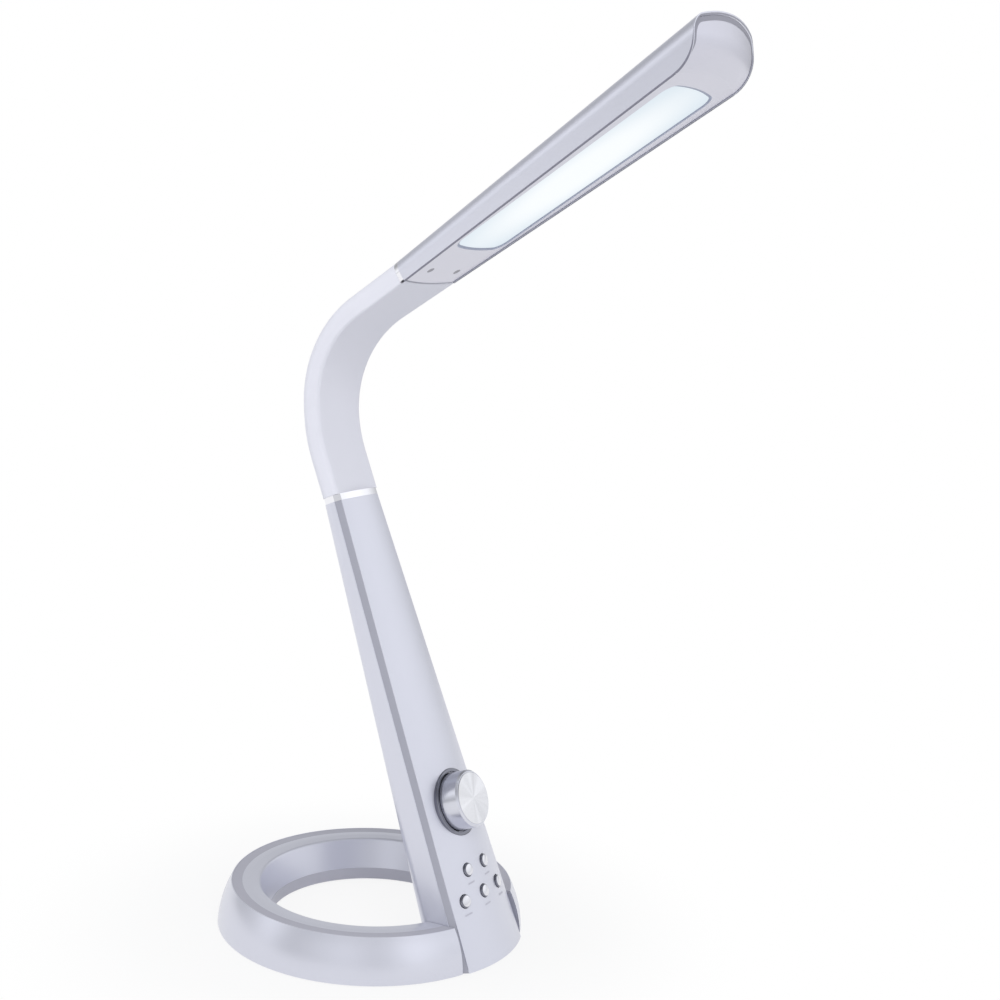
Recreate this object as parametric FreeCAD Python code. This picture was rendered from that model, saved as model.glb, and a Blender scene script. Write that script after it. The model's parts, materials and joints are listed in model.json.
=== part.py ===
import FreeCAD, Part
import math
import os

# Table lamp with a ring foot, a leaning tapered column, a flexible neck and a paddle-shaped
# light head. Millimetres. The origin is the centre of the ring on the table, +X is the way
# the head points, +Z is up.

V = FreeCAD.Vector
UP = V(0, 0, 1)
os.makedirs("parts", exist_ok=True)

# Ring foot
base_radius = 95.0
ring_height = 26.9
rim_inset = 7.6
wall_bulge = 1.6
outer_wall = 2.0
rim_lip = 0.4
reveal_depth = 2.0
reveal_width = 6.7
land_drop = 0.3
land_flat_width = 4.2
land_width = 11.4
land_fall = 0.4
land_round = 2.0
ledge_width = 2.5
ledge_thickness = 2.0
throat_inset = 6.5
throat_top = 8.2
upstand_wall = 1.8
inner_wall = 2.1
foot_thickness = 0.8
foot_inset = 6.2
floor_margin = 9.0
pan_thickness = 2.0
pan_gap = 0.2
ballast_inset = 8.2
ballast_height = 15.2
ballast_from_deg = 32.0
ballast_to_deg = 160.0
boss_inset = 14.2
boss_radius = 3.2
boss_angles_deg = (45.0, 135.0, -45.0, -135.0)
base_screw_radius = 1.4
base_screw_head_radius = 2.6
base_screw_head_height = 1.2
base_screw_length = 11.0
screw_gap = 0.05
part_gap = 0.3

# Power inlet at the back of the ring
jack_width = 9.0
jack_height = 11.0
jack_length = 12.5
jack_setback = 6.7
jack_axis_height = 9.0
jack_bore_radius = 3.2
jack_bore_depth = 10.0
jack_pin_radius = 1.0
jack_pin_recess = 2.2
inlet_hole_radius = 4.6

# Column, in its own frame: n forward and square to its front, y sideways, u up along it
column_lean_deg = 22.93
column_setback = 3.7
column_length = 290.0
column_below = 22.0
front_half_width_foot = 31.7
front_half_width_top = 19.3
front_curve_radius = 95.0
front_skirt = 6.0
column_wall = 2.2
trim_lead_in = 0.5
trim_depth = 3.6
trim_width = 3.2
trim_step = 0.4
column_depth_foot = 26.6
column_depth_top = 14.0
rear_corner_radius = 7.0
screw_above_board = 23.0
screw_below_top = 15.0
column_screw_radius = 1.3
column_screw_head_radius = 2.7
column_screw_head_height = 1.0
column_boss_radius = 3.0
collar_height = 4.0
collar_wall = 2.4

# Control knob and its encoder
knob_height = 95.7
bezel_radius = 20.5
bezel_width = 2.4
bezel_rise = 0.5
bezel_sink = 0.5
bezel_round = 0.7
pad_radius = 22.0
pad_back = -1.0
knob_base_radius = 17.7
knob_top_radius = 17.2
knob_floor_gap = 0.6
knob_face_rise = 12.9
knob_chamfer = 1.0
knob_wall = 2.4
knob_hub_radius = 5.0
cap_radius = 15.6
cap_thickness = 1.4
cap_proud = 0.5
cap_round = 0.4
encoder_size = 12.4
bushing_radius = 3.5
bushing_gap = 0.2
nut_across = 10.0
nut_thickness = 1.0
shaft_radius = 3.0
shaft_clearance = 0.05
shaft_top_gap = 1.2

# Buttons: height along the column and offset sideways of each
button_places = ((56.0, -9.5), (56.0, 9.5), (40.0, -19.5), (40.0, 0.0), (40.0, 19.5))
button_radius = 3.9
button_clearance = 0.35
button_rise = 1.7
button_round = 0.5
button_flange = 0.8
button_flange_thickness = 0.7
button_retainer_gap = 0.3
button_stem_radius = 1.6
switch_gap = 0.7
switch_size = 6.0
switch_height = 3.6

# Control board
board_front = -7.0
board_thickness = 1.6
board_low = 26.0
board_high = 117.0
board_half_width = 23.5
board_post_radius = 2.4
board_post_places = ((31.0, -9.8), (31.0, 9.8), (112.0, -17.0), (112.0, 17.0))
board_screw_radius = 1.0
board_screw_head_radius = 2.0
board_screw_head_height = 1.2
board_screw_length = 5.0
component_height = 3.4
chip_place = (65.0, -10.0)
chip_span = (10.0, 8.0)
coil_place = (84.0, -10.0)
coil_radius = 4.5
capacitor_place = (72.0, 10.0)
capacitor_radius = 3.2

# Flexible neck, along its centre line
neck_thickness = 14.0
neck_lower_straight = 24.4
neck_back_radius = 91.0
neck_front_radius = 68.4
neck_upper_straight = 40.6
neck_half_width_foot = 22.5
neck_flare_start = 52.0
neck_front_round_foot = 3.0
neck_front_round_head = 0.9
neck_back_round = 7.0
channel_half_width = 12.6
channel_half_thickness = 4.6
sleeve_sections = 12
first_pivot = 22.0
pivot_spacing = 21.0
link_kinds = ("bend", "bend", "sway", "bend", "sway", "bend", "bend")
link_half_width = 8.5
link_half_thickness = 3.6
tongue_half_width = 4.9
ear_gap = 0.1
link_pin_radius = 1.5
pin_clearance = 0.05
bend_eye_radius = 3.6
sway_eye_radius = 6.0
sway_tongue_half = 1.7
shoulder_gap = 0.4
ferrule_half_width = 8.8
ferrule_tail = 22.0
lead_radius = 1.2
lead_offset = 10.3

# Light head, in its own frame: a along it from the neck, y sideways, n up from its underside
head_rise_deg = 34.17
head_half_width_neck = 28.1
head_side_height_neck = 6.2
head_corner_neck = 8.0
head_half_width_tip = 45.0
head_side_height_tip = 10.6
head_corner_tip = 10.0
head_section_length = 232.0
head_crown_deg = 7.0
head_wall = 1.4
head_groove = 0.8
cover_recess = 0.6
cover_skin = 1.0
cover_flange = 1.4
cover_flange_gap = 0.05
tip_flat_end = 203.5
tip_sweep_radius = 22.0
tip_sweep_deg = 62.0
tip_plan_radius = 176.0
tip_dip = 0.05
neck_edge_bulge = 1.8
neck_edge_radius = 158.0
upper_collar_width = 2.7
upper_collar_wall = 1.6
collar_open_height = 1.2
window_start = 34.5
window_end = 194.0
window_half_start = 26.0
window_half_end = 30.4
window_end_bulge = 3.0
window_corner = 9.0
diffuser_recess = 0.7
diffuser_gap = 0.15
diffuser_lip = 2.4
diffuser_lip_thickness = 1.0
light_board_height = 7.4
light_board_thickness = 1.2
light_board_start = 13.0
light_board_half_width = 18.0
spreader_thickness = 1.2
spreader_half_width = 21.0
spreader_start = 26.0
spreader_post_places = ((60.0, 14.0), (60.0, -14.0), (168.0, 14.0), (168.0, -14.0))
spreader_post_radius = 2.5
led_length = 5.0
led_width = 3.0
led_height = 0.8
led_rows = (-12.0, 12.0)
led_count = 9
led_pitch = 17.5
head_screw_a = 11.5
head_screw_y = 14.7
head_screw_radius = 1.2
head_screw_head_radius = 2.3
head_screw_head_height = 0.8
head_screw_length = 7.0
head_post_radius = 2.8
saddle_start = 2.0
saddle_end = 8.0
far = 400.0


def save(name, shape):
    """Write one sub-part to its STEP file."""
    shape.exportStep(f"parts/{name}.step")


def group(solids):
    """Separate solids that share a node."""
    return Part.makeCompound(solids)


def outline(points):
    """A closed wire through points; a pair of points is the middle and end of an arc."""
    edges = []
    here = points[0]
    for item in list(points[1:]) + [points[0]]:
        if isinstance(item, tuple):
            middle, end = item
            edges.append(Part.Arc(here, middle, end).toShape())
        else:
            end = item
            edges.append(Part.LineSegment(here, end).toShape())
        here = end
    return Part.Wire(edges)


def revolved(points):
    """A solid of revolution about the Z axis from (radius, height) points and arcs."""
    def lift(p):
        return V(p[0], 0, p[1])
    lifted = [tuple(lift(q) for q in p) if isinstance(p[0], tuple) else lift(p) for p in points]
    return Part.Face(outline(lifted)).revolve(V(0, 0, 0), UP, 360)


def loft(wires, ruled=True):
    return Part.makeLoft(wires, True, ruled)


def slab(low, high):
    """A box between two corners."""
    return Part.makeBox(high[0] - low[0], high[1] - low[1], high[2] - low[2], V(*low))


def above(height):
    return slab((-far, -far, height), (far, far, 2 * far))


def rod(radius, start, end):
    """A cylinder from one point to another."""
    along = end - start
    return Part.makeCylinder(radius, along.Length, start, along)


def mirrored(shape):
    return shape.mirror(V(0, 0, 0), V(0, 1, 0))


def fuse(shape, others):
    return shape.fuse(others).removeSplitter()


# Ring foot

foot_top = foot_thickness
pan_top = foot_top + pan_thickness
reveal_floor = ring_height - reveal_depth
rim_radius = base_radius - rim_inset
reveal_inner_radius = rim_radius - reveal_width
land_inner_radius = reveal_inner_radius - land_width
throat_radius = land_inner_radius - throat_inset
margin_radius = base_radius - floor_margin
wall_chord = math.hypot(rim_inset, ring_height - foot_top)
wall_curve = wall_chord ** 2 / (8 * wall_bulge) + wall_bulge / 2
wall_centre = V((base_radius + rim_radius) / 2 - (wall_curve - wall_bulge) * (ring_height - foot_top) / wall_chord,
                0, (foot_top + ring_height) / 2 - (wall_curve - wall_bulge) * rim_inset / wall_chord)


def wall_radius(height, inset=0.0):
    """Radius of the ring's gently bulging outer wall at a height."""
    return wall_centre.x + math.sqrt((wall_curve - inset) ** 2 - (height - wall_centre.z) ** 2)


def outer_shell_blank():
    """Bulging outer wall with a rebate along its top for the reveal ring."""
    lip_radius = rim_radius - rim_lip
    mid = (foot_top + ring_height) / 2
    mid_inside = (foot_top + reveal_floor) / 2
    return revolved([
        (base_radius, foot_top),
        ((wall_radius(mid), mid), (rim_radius, ring_height)),
        (lip_radius, ring_height),
        (lip_radius, reveal_floor),
        (wall_radius(reveal_floor, outer_wall), reveal_floor),
        ((wall_radius(mid_inside, outer_wall), mid_inside), (wall_radius(foot_top, outer_wall), foot_top)),
    ])


def reveal_ring_blank():
    """Flat grey band round the ring's top, a little lower on its inner side."""
    return revolved([
        (rim_radius - rim_lip, reveal_floor),
        (rim_radius - rim_lip, ring_height - land_drop / 2),
        (reveal_inner_radius, ring_height - land_drop),
        (reveal_inner_radius, reveal_floor),
    ])


def inner_ring_blank():
    """Top land, creased where it starts to fall, and the steep inner wall with its ledge."""
    land = ring_height - land_drop
    ledge_floor = reveal_floor - ledge_thickness
    foot_radius = throat_radius + part_gap
    turn = V(land_inner_radius + land_round, 0, land - land_fall - land_round)
    wall_foot = V(foot_radius, 0, throat_top) - turn
    tangent = math.atan2(wall_foot.z, wall_foot.x) - math.acos(land_round / wall_foot.Length)
    middle = (math.pi / 2 + tangent % (2 * math.pi)) / 2

    def on_turn(angle):
        return (turn.x + land_round * math.cos(angle), turn.z + land_round * math.sin(angle))
    return revolved([
        (reveal_inner_radius, land),
        (reveal_inner_radius - land_flat_width, land),
        on_turn(math.pi / 2),
        (on_turn(middle), on_turn(tangent)),
        (foot_radius, throat_top),
        (foot_radius + inner_wall, throat_top),
        (land_inner_radius + inner_wall, ledge_floor),
        (reveal_inner_radius + ledge_width, ledge_floor),
        (reveal_inner_radius + ledge_width, reveal_floor),
        (reveal_inner_radius, reveal_floor),
    ])


def pan_blank():
    """Bottom plate with the upstand that lines the lower part of the ring's hole."""
    plate_radius = wall_radius(pan_top, outer_wall) - pan_gap
    return revolved([
        (throat_radius, foot_top),
        (throat_radius, throat_top),
        (throat_radius + upstand_wall, throat_top),
        (throat_radius + upstand_wall, pan_top),
        (plate_radius, pan_top),
        (plate_radius, foot_top),
    ])


def foot_ring():
    return revolved([
        (throat_radius + foot_inset, 0),
        (throat_radius + foot_inset, foot_top),
        (margin_radius, foot_top),
        (margin_radius, 0),
    ])


def ring_places():
    """Centres of the ring's screw bosses at floor level."""
    circle = throat_radius + boss_inset
    for angle in boss_angles_deg:
        turn = math.radians(angle)
        yield V(circle * math.cos(turn), circle * math.sin(turn), 0)


def at_height(place, height):
    return V(place.x, place.y, height)


def ballast():
    """Two steel arcs on the pan, drilled for the bosses that pass through them."""
    bar = revolved([
        (throat_radius + ballast_inset, pan_top),
        (throat_radius + ballast_inset, pan_top + ballast_height),
        (margin_radius, pan_top + ballast_height),
        (margin_radius, pan_top),
    ])
    span = ballast_to_deg - ballast_from_deg
    wedge = Part.makeCylinder(far, 2 * far, V(0, 0, -far), UP, span)
    wedge.rotate(V(0, 0, 0), UP, ballast_from_deg)
    left = bar.common(wedge)
    for place in ring_places():
        low = at_height(place, 0)
        left = left.cut(rod(boss_radius + part_gap, low, at_height(place, ring_height)))
    return group([left, mirrored(left)])


def ring_bosses():
    """Posts under the ring's top plate, bored for the base screws."""
    posts = []
    for place in ring_places():
        top = at_height(place, reveal_floor - ledge_thickness)
        post = rod(boss_radius, at_height(place, pan_top), top)
        hole_top = at_height(place, pan_top + base_screw_length)
        bore = rod(base_screw_radius + screw_gap, at_height(place, pan_top), hole_top)
        posts.append(post.cut(bore))
    return posts


def base_screws():
    screws = []
    head_top = foot_top + base_screw_head_height
    for place in ring_places():
        head = rod(base_screw_head_radius, at_height(place, foot_top), at_height(place, head_top))
        tip = at_height(place, pan_top + base_screw_length - 2 * screw_gap)
        shank = rod(base_screw_radius, at_height(place, head_top), tip)
        screws.append(head.fuse(shank))
    return group(screws)


def screw_pockets():
    """Countersunk seats in the pan for the base screws."""
    cutters = []
    head_top = foot_top + base_screw_head_height
    for place in ring_places():
        seat = rod(base_screw_head_radius + screw_gap, at_height(place, 0), at_height(place, head_top))
        hole = rod(base_screw_radius + screw_gap, at_height(place, 0), at_height(place, pan_top + 1))
        cutters.append(seat.fuse(hole))
    return cutters


jack_face_x = jack_setback - base_radius


def jack_body():
    """Barrel socket that stands on the pan with its mouth behind the hole in the wall."""
    half = jack_width / 2
    body = slab((jack_face_x, -half, pan_top), (jack_face_x + jack_length, half, pan_top + jack_height))
    mouth = V(jack_face_x, 0, jack_axis_height)
    return body.cut(rod(jack_bore_radius, mouth, mouth + V(jack_bore_depth, 0, 0)))


def jack_pin():
    tip = V(jack_face_x + jack_pin_recess, 0, jack_axis_height)
    return rod(jack_pin_radius, tip, V(jack_face_x + jack_bore_depth, 0, jack_axis_height))


def inlet_hole():
    start = V(-base_radius - 5, 0, jack_axis_height)
    return rod(inlet_hole_radius, start, V(jack_face_x - pan_gap / 2, 0, jack_axis_height))


# Column

lean = math.radians(column_lean_deg)
column_foot_x = base_radius - column_setback
lowest_screw = board_high + screw_above_board
highest_screw = column_length - screw_below_top
column_screw_heights = (lowest_screw, (lowest_screw + highest_screw) / 2, highest_screw)


def column_place(shape):
    """Move a shape from the column's frame to the lamp's."""
    placed = shape.copy()
    placed.rotate(V(0, 0, 0), V(0, 1, 0), -column_lean_deg)
    placed.translate(V(column_foot_x, 0, 0))
    return placed


def blend_along(low, high, u):
    return low + (high - low) * u / column_length


def front_half(u):
    return blend_along(front_half_width_foot, front_half_width_top, u)


def side_half(u):
    return front_half(u) + trim_width


def depth_at(u):
    return blend_along(column_depth_foot, column_depth_top, u)


def curve_centre(u):
    """Where the front's curve has its centre, along n."""
    return -math.sqrt(front_curve_radius ** 2 - front_half(u) ** 2)


def front_face(u, y=0.0, inset=0.0):
    """How far forward the front's surface stands at a place."""
    return curve_centre(u) + math.sqrt((front_curve_radius - inset) ** 2 - y ** 2)


def front_section(u, inset, back):
    """Section of the front shell: a shallow arc closed by straight skirts."""
    half = front_half(u) - inset
    edge = front_face(u, half, inset)
    return outline([
        V(edge, -half, u),
        (V(front_face(u, 0, inset), 0, u), V(edge, half, u)),
        V(back, half, u),
        V(back, -half, u),
    ])


def rear_section(u, inset, front):
    """Section of the rear shell: straight sides and rounded rear corners."""
    half = side_half(u) - inset
    back = -depth_at(u) + inset
    corner = rear_corner_radius - inset
    slant = corner * math.sqrt(0.5)
    return outline([
        V(front, half, u),
        V(back + corner, half, u),
        (V(back + corner - slant, half - corner + slant, u), V(back, half - corner, u)),
        V(back, -half + corner, u),
        (V(back + corner - slant, -half + corner - slant, u), V(back + corner, -half, u)),
        V(front, -half, u),
    ])


def column_loft(section, low=-column_below, high=column_length):
    return loft([section(low), section(high)])


def front_blank():
    return column_loft(lambda u: front_section(u, 0.0, -front_skirt))


def front_hollow():
    return column_loft(lambda u: front_section(u, column_wall, -front_skirt - 1), -column_below - 1,
                       column_length + 1)


def seat_wall_back(u):
    """Inner face of the rear wall, where a screw boss ends."""
    return -depth_at(u) + column_wall


def rear_hollow():
    return column_loft(lambda u: rear_section(u, column_wall, -trim_depth + 1), -column_below - 1,
                       column_length + 1)


def along_n(radius, u, y, n_from, n_to):
    """A cylinder square to the column's front."""
    return rod(radius, V(n_from, y, u), V(n_to, y, u))


def switch_top():
    return board_front + switch_height


def column_front_shell(blank):
    """Front shell with its knob seat, button holes, screw bosses and board posts."""
    shell = blank.cut(front_hollow())
    pad = along_n(pad_radius, knob_height, 0, pad_back, pad_radius).common(blank)
    adds = [pad]
    inside = rear_hollow()
    for u in column_screw_heights:
        joined = front_face(u, 0, column_wall) + 0.5
        foot = along_n(column_boss_radius, u, 0, seat_wall_back(u) - 1, -trim_depth)
        boss = along_n(column_boss_radius, u, 0, -trim_depth, joined)
        adds.append(boss.fuse(foot.common(inside)))
    for u, y in board_post_places:
        adds.append(along_n(board_post_radius, u, y, board_front, front_face(u, y, column_wall) + 0.5))
    shell = fuse(shell, adds)
    floor = bezel_floor()
    cuts = [along_n(bezel_radius, knob_height, 0, floor, far / 10)]
    cuts.append(along_n(bushing_radius + bushing_gap, knob_height, 0, pad_back - 1, far / 10))
    for u, y in button_places:
        cuts.append(along_n(button_radius + button_clearance, u, y, board_front, far / 10))
    for u in column_screw_heights:
        bore_end = front_face(u, 0, column_wall) - 0.5
        cuts.append(along_n(column_screw_radius + screw_gap, u, 0, seat_wall_back(u) - 1, bore_end))
    for u, y in board_post_places:
        cuts.append(along_n(board_screw_radius + screw_gap, u, y, board_front - 1,
                            board_front + board_screw_length))
    return shell.cut(cuts)


def column_rear_shell():
    """Rear shell, open towards the front, with countersunk screw holes in its back."""
    outer = column_loft(lambda u: rear_section(u, 0.0, -trim_depth))
    shell = outer.cut(rear_hollow())
    cuts = []
    for u in column_screw_heights:
        back = -depth_at(u)
        head = back + column_screw_head_height
        cuts.append(along_n(column_screw_head_radius + screw_gap, u, 0, back - 2, head))
        cuts.append(along_n(column_screw_radius + screw_gap, u, 0, back - 2, back + column_wall + 1))
    return shell.cut(cuts)


def column_screws():
    screws = []
    for u in column_screw_heights:
        back = -depth_at(u)
        head = back + column_screw_head_height
        tip = front_face(u, 0, column_wall) - 1.5
        cap = along_n(column_screw_head_radius, u, 0, back + screw_gap, head)
        screws.append(cap.fuse(along_n(column_screw_radius, u, 0, head, tip)))
    return group(screws)


def side_trim():
    """Grey strip in the recess between the two shells, on the +Y side."""
    def section(u):
        half = front_half(u)
        return outline([
            V(-trim_lead_in, half, u),
            V(-trim_depth, side_half(u) - trim_step, u),
            V(-trim_depth, half, u),
        ])
    return column_loft(section)


def column_envelope(width, gap, n_back, n_front):
    """A prism over the column's foot, used to open the ring for it."""
    def section(u):
        half = width(u) + gap
        return outline([V(n_front, half, u), V(n_back(u), half, u), V(n_back(u), -half, u), V(n_front, -half, u)])
    return column_place(loft([section(-column_below), section(column_length / 3)]))


def lower_collar():
    """Bright band that caps the column, with the column's own section."""
    top = column_length
    half = front_half(top)
    side = side_half(top) - trim_step
    back = -depth_at(top)
    corner = rear_corner_radius
    slant = corner * math.sqrt(0.5)

    def section(u, inset):
        r = corner - inset
        s = slant * r / corner
        b = back + inset
        edge = side - inset
        return outline([
            V(-inset, -half + inset * 0.4, u),
            (V(front_face(top) - inset, 0, u), V(-inset, half - inset * 0.4, u)),
            V(-trim_depth, edge, u),
            V(b + r, edge, u),
            (V(b + r - s, edge - r + s, u), V(b, edge - r, u)),
            V(b, -edge + r, u),
            (V(b + r - s, -edge + r - s, u), V(b + r, -edge, u)),
            V(-trim_depth, -edge, u),
        ])
    solid = loft([section(top, 0), section(top + collar_height, 0)])
    hole = loft([section(top - 1, collar_wall), section(top + collar_height + 1, collar_wall)])
    return solid.cut(hole)


# Knob, encoder and bezel

def bezel_floor():
    return front_face(knob_height, bezel_radius) - bezel_sink


def bezel_top():
    return front_face(knob_height) + bezel_rise


def knob_face():
    return front_face(knob_height) + knob_face_rise


def knob_turned(points):
    """A solid turned about the knob's axis from (radius, n) points and arcs."""
    shape = revolved(points)
    shape.rotate(V(0, 0, 0), V(0, 1, 0), 90)
    shape.translate(V(0, 0, knob_height))
    return shape


def knob_bezel():
    inner = bezel_radius - bezel_width
    top = bezel_top()
    r = bezel_round
    slant = r * (1 - math.sqrt(0.5))
    return knob_turned([
        (inner, bezel_floor()),
        (inner, top - r),
        ((inner + slant, top - slant), (inner + r, top)),
        (bezel_radius - r, top),
        ((bezel_radius - slant, top - slant), (bezel_radius, top - r)),
        (bezel_radius, bezel_floor()),
    ])


def encoder_body():
    half = encoder_size / 2
    body = slab((board_front, -half, knob_height - half), (pad_back, half, knob_height + half))
    bushing = along_n(bushing_radius, knob_height, 0, pad_back, bezel_floor() + nut_thickness)
    bore = along_n(shaft_radius + shaft_clearance, knob_height, 0, board_front + 1.5, far / 10)
    return fuse(body, [bushing]).cut(bore)


def encoder_nut():
    """Hexagon nut that clamps the encoder in the front shell."""
    corner = nut_across / math.sqrt(3)
    floor = bezel_floor()
    points = []
    for k in range(6):
        turn = math.radians(60 * k)
        points.append(V(floor, corner * math.cos(turn), knob_height + corner * math.sin(turn)))
    solid = Part.Face(outline(points)).extrude(V(nut_thickness, 0, 0))
    return solid.cut(along_n(bushing_radius, knob_height, 0, floor - 1, floor + nut_thickness + 1))


def encoder_shaft():
    return along_n(shaft_radius, knob_height, 0, board_front + 1.5 + shaft_clearance, knob_face() - cap_thickness
                   - shaft_top_gap)


def knob_body():
    """Tapered skirt with a chamfered shoulder, a hub for the shaft and a seat for the cap."""
    low = bezel_floor() + knob_floor_gap
    top = knob_face() - cap_proud
    seat = knob_face() - cap_thickness
    hub_low = bezel_floor() + nut_thickness + knob_floor_gap
    web = seat - knob_wall
    shaft_top = seat - shaft_top_gap
    return knob_turned([
        (shaft_radius, hub_low),
        (shaft_radius, shaft_top),
        (0, shaft_top),
        (0, seat),
        (cap_radius, seat),
        (cap_radius, top),
        (knob_top_radius - knob_chamfer, top),
        (knob_top_radius, top - knob_chamfer),
        (knob_base_radius, low),
        (knob_base_radius - knob_wall, low),
        (knob_top_radius - knob_wall, web),
        (knob_hub_radius, web),
        (knob_hub_radius, hub_low),
    ])


def knob_cap():
    face = knob_face()
    r = cap_round
    slant = r * (1 - math.sqrt(0.5))
    return knob_turned([
        (0, face - cap_thickness),
        (0, face),
        (cap_radius - r, face),
        ((cap_radius - slant, face - slant), (cap_radius, face - r)),
        (cap_radius, face - cap_thickness),
    ])


# Buttons, switches and board

def button(u, y):
    """Round cap whose top follows the curved front, with a retaining flange and a stem."""
    centre = V(curve_centre(u), 0, u - 3 * button_radius)
    skin = Part.makeCylinder(front_curve_radius + button_rise, 6 * button_radius, centre, UP)
    skin.rotate(centre, UP, 180)
    flange_radius = button_radius + button_flange
    flange_top = front_face(u, abs(y) + flange_radius, column_wall) - button_retainer_gap
    flange_low = flange_top - button_flange_thickness
    cap = along_n(button_radius, u, y, flange_low, far / 10).common(skin)
    rim = [e for e in cap.Edges if e.BoundBox.XMin > front_face(u, abs(y) + button_radius) and e.Length > 1]
    cap = cap.makeFillet(button_round, rim)
    flange = along_n(flange_radius, u, y, flange_low, flange_top)
    stem = along_n(button_stem_radius, u, y, switch_top() + switch_gap, flange_top)
    return fuse(cap, [flange, stem])


def tact_switches():
    half = switch_size / 2
    solids = []
    for u, y in button_places:
        solids.append(slab((board_front, y - half, u - half), (switch_top(), y + half, u + half)))
    return group(solids)


def board_back():
    return board_front - board_thickness


def control_board():
    board = slab((board_back(), -board_half_width, board_low), (board_front, board_half_width, board_high))
    holes = []
    for u, y in board_post_places:
        holes.append(along_n(board_screw_radius + screw_gap, u, y, board_back() - 1, board_front + 1))
    return board.cut(holes)


def board_screws():
    screws = []
    for u, y in board_post_places:
        back = board_back()
        head = along_n(board_screw_head_radius, u, y, back - board_screw_head_height, back)
        tip = board_front + board_screw_length - 1
        screws.append(head.fuse(along_n(board_screw_radius, u, y, back, tip)))
    return group(screws)


def board_components():
    """Driver chip, coil and capacitor on the back of the board."""
    back = board_back()
    u, y = chip_place
    length, width = chip_span
    chip = slab((back - component_height / 2, y - width / 2, u - length / 2), (back, y + width / 2, u + length / 2))
    coil = along_n(coil_radius, *coil_place, back - component_height, back)
    capacitor = along_n(capacitor_radius, *capacitor_place, back - component_height, back)
    return group([chip, coil, capacitor])


# Neck

head_rise = math.radians(head_rise_deg)
neck_turn_front = math.pi / 2 - head_rise
neck_arc_back = neck_back_radius * lean
neck_arc_front = neck_front_radius * neck_turn_front
neck_length = neck_lower_straight + neck_arc_back + neck_arc_front + neck_upper_straight
neck_half = neck_thickness / 2


def column_point(n, u):
    """A point of the lamp's middle plane given in the column's frame."""
    x = column_foot_x + n * math.cos(lean) - u * math.sin(lean)
    return V(x, 0, n * math.sin(lean) + u * math.cos(lean))


neck_start = column_point(-neck_half, column_length + collar_height)


def heading(s):
    """Angle of the neck's centre line from upright, forwards positive, at a length along it."""
    if s <= neck_lower_straight:
        return -lean
    s = s - neck_lower_straight
    if s <= neck_arc_back:
        return -lean + s / neck_back_radius
    s = s - neck_arc_back
    return min(s / neck_front_radius, neck_turn_front)


def arc_step(radius, start, end):
    """Move along an arc that turns forwards from one heading to another."""
    return V(radius * (math.cos(start) - math.cos(end)), 0, radius * (math.sin(end) - math.sin(start)))


def along(angle):
    return V(math.sin(angle), 0, math.cos(angle))


def neck_point(s):
    """Point of the neck's centre line at a length along it."""
    point = neck_start + along(-lean) * min(s, neck_lower_straight)
    if s <= neck_lower_straight:
        return point
    rest = s - neck_lower_straight
    point = point + arc_step(neck_back_radius, -lean, -lean + min(rest, neck_arc_back) / neck_back_radius)
    if rest <= neck_arc_back:
        return point
    rest = rest - neck_arc_back
    point = point + arc_step(neck_front_radius, 0, min(rest, neck_arc_front) / neck_front_radius)
    if rest <= neck_arc_front:
        return point
    return point + along(neck_turn_front) * (rest - neck_arc_front)


def neck_place(shape, s):
    """Put a shape made about the origin, with Z along the neck and X to its front, at a length."""
    placed = shape.copy()
    placed.rotate(V(0, 0, 0), V(0, 1, 0), math.degrees(heading(s)))
    placed.translate(neck_point(s))
    return placed


def neck_ratio(s):
    """How far the neck has flared from its foot width to the head's, from 0 to 1."""
    return max(0.0, (s - neck_flare_start) / (neck_length - neck_flare_start))


def sleeve_section(s):
    """Neck section: nearly flat front, rounder back corners."""
    t = neck_ratio(s)
    half = neck_half_width_foot + (head_half_width_neck - neck_half_width_foot) * t
    front = neck_front_round_foot + (neck_front_round_head - neck_front_round_foot) * t
    back = neck_back_round + (head_corner_neck - neck_back_round) * t
    f = front * (1 - math.sqrt(0.5))
    b = back * (1 - math.sqrt(0.5))
    deep = neck_half
    wire = outline([
        V(deep - front, -half, 0),
        (V(deep - f, -half + f, 0), V(deep, -half + front, 0)),
        V(deep, half - front, 0),
        (V(deep - f, half - f, 0), V(deep - front, half, 0)),
        V(-deep + back, half, 0),
        (V(-deep + b, half - b, 0), V(-deep, half - back, 0)),
        V(-deep, -half + back, 0),
        (V(-deep + b, -half + b, 0), V(-deep + back, -half, 0)),
    ])
    return neck_place(wire, s)


def channel_section(s):
    w = channel_half_width
    t = channel_half_thickness
    return neck_place(outline([V(t, -w, 0), V(t, w, 0), V(-t, w, 0), V(-t, -w, 0)]), s)


def neck_sleeve():
    """Moulded sleeve, swept along the neck through sections that widen towards the head."""
    sleeve_length = neck_length - upper_collar_width
    step = sleeve_length / (sleeve_sections - 1)
    places = [k * step for k in range(sleeve_sections)]
    outer = loft([sleeve_section(s) for s in places], False)
    hollow_places = [-1.0] + places[1:-1] + [sleeve_length + 1.0]
    sleeve = outer.cut(loft([channel_section(s) for s in hollow_places], False))
    inside = head_half_width_neck - neck_front_round_head
    lip = slab((-upper_collar_width, -inside, 0), (0, inside, collar_open_height - 0.1))
    lip = lip.cut(neck_edge_disc(part_gap))
    return fuse(sleeve, [head_place(lip)])


def pivot_at(k):
    return first_pivot + k * pivot_spacing


def eye_radius(kind):
    return bend_eye_radius if kind == "bend" else sway_eye_radius


def shoulder(kind):
    return eye_radius(kind) + shoulder_gap


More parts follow.
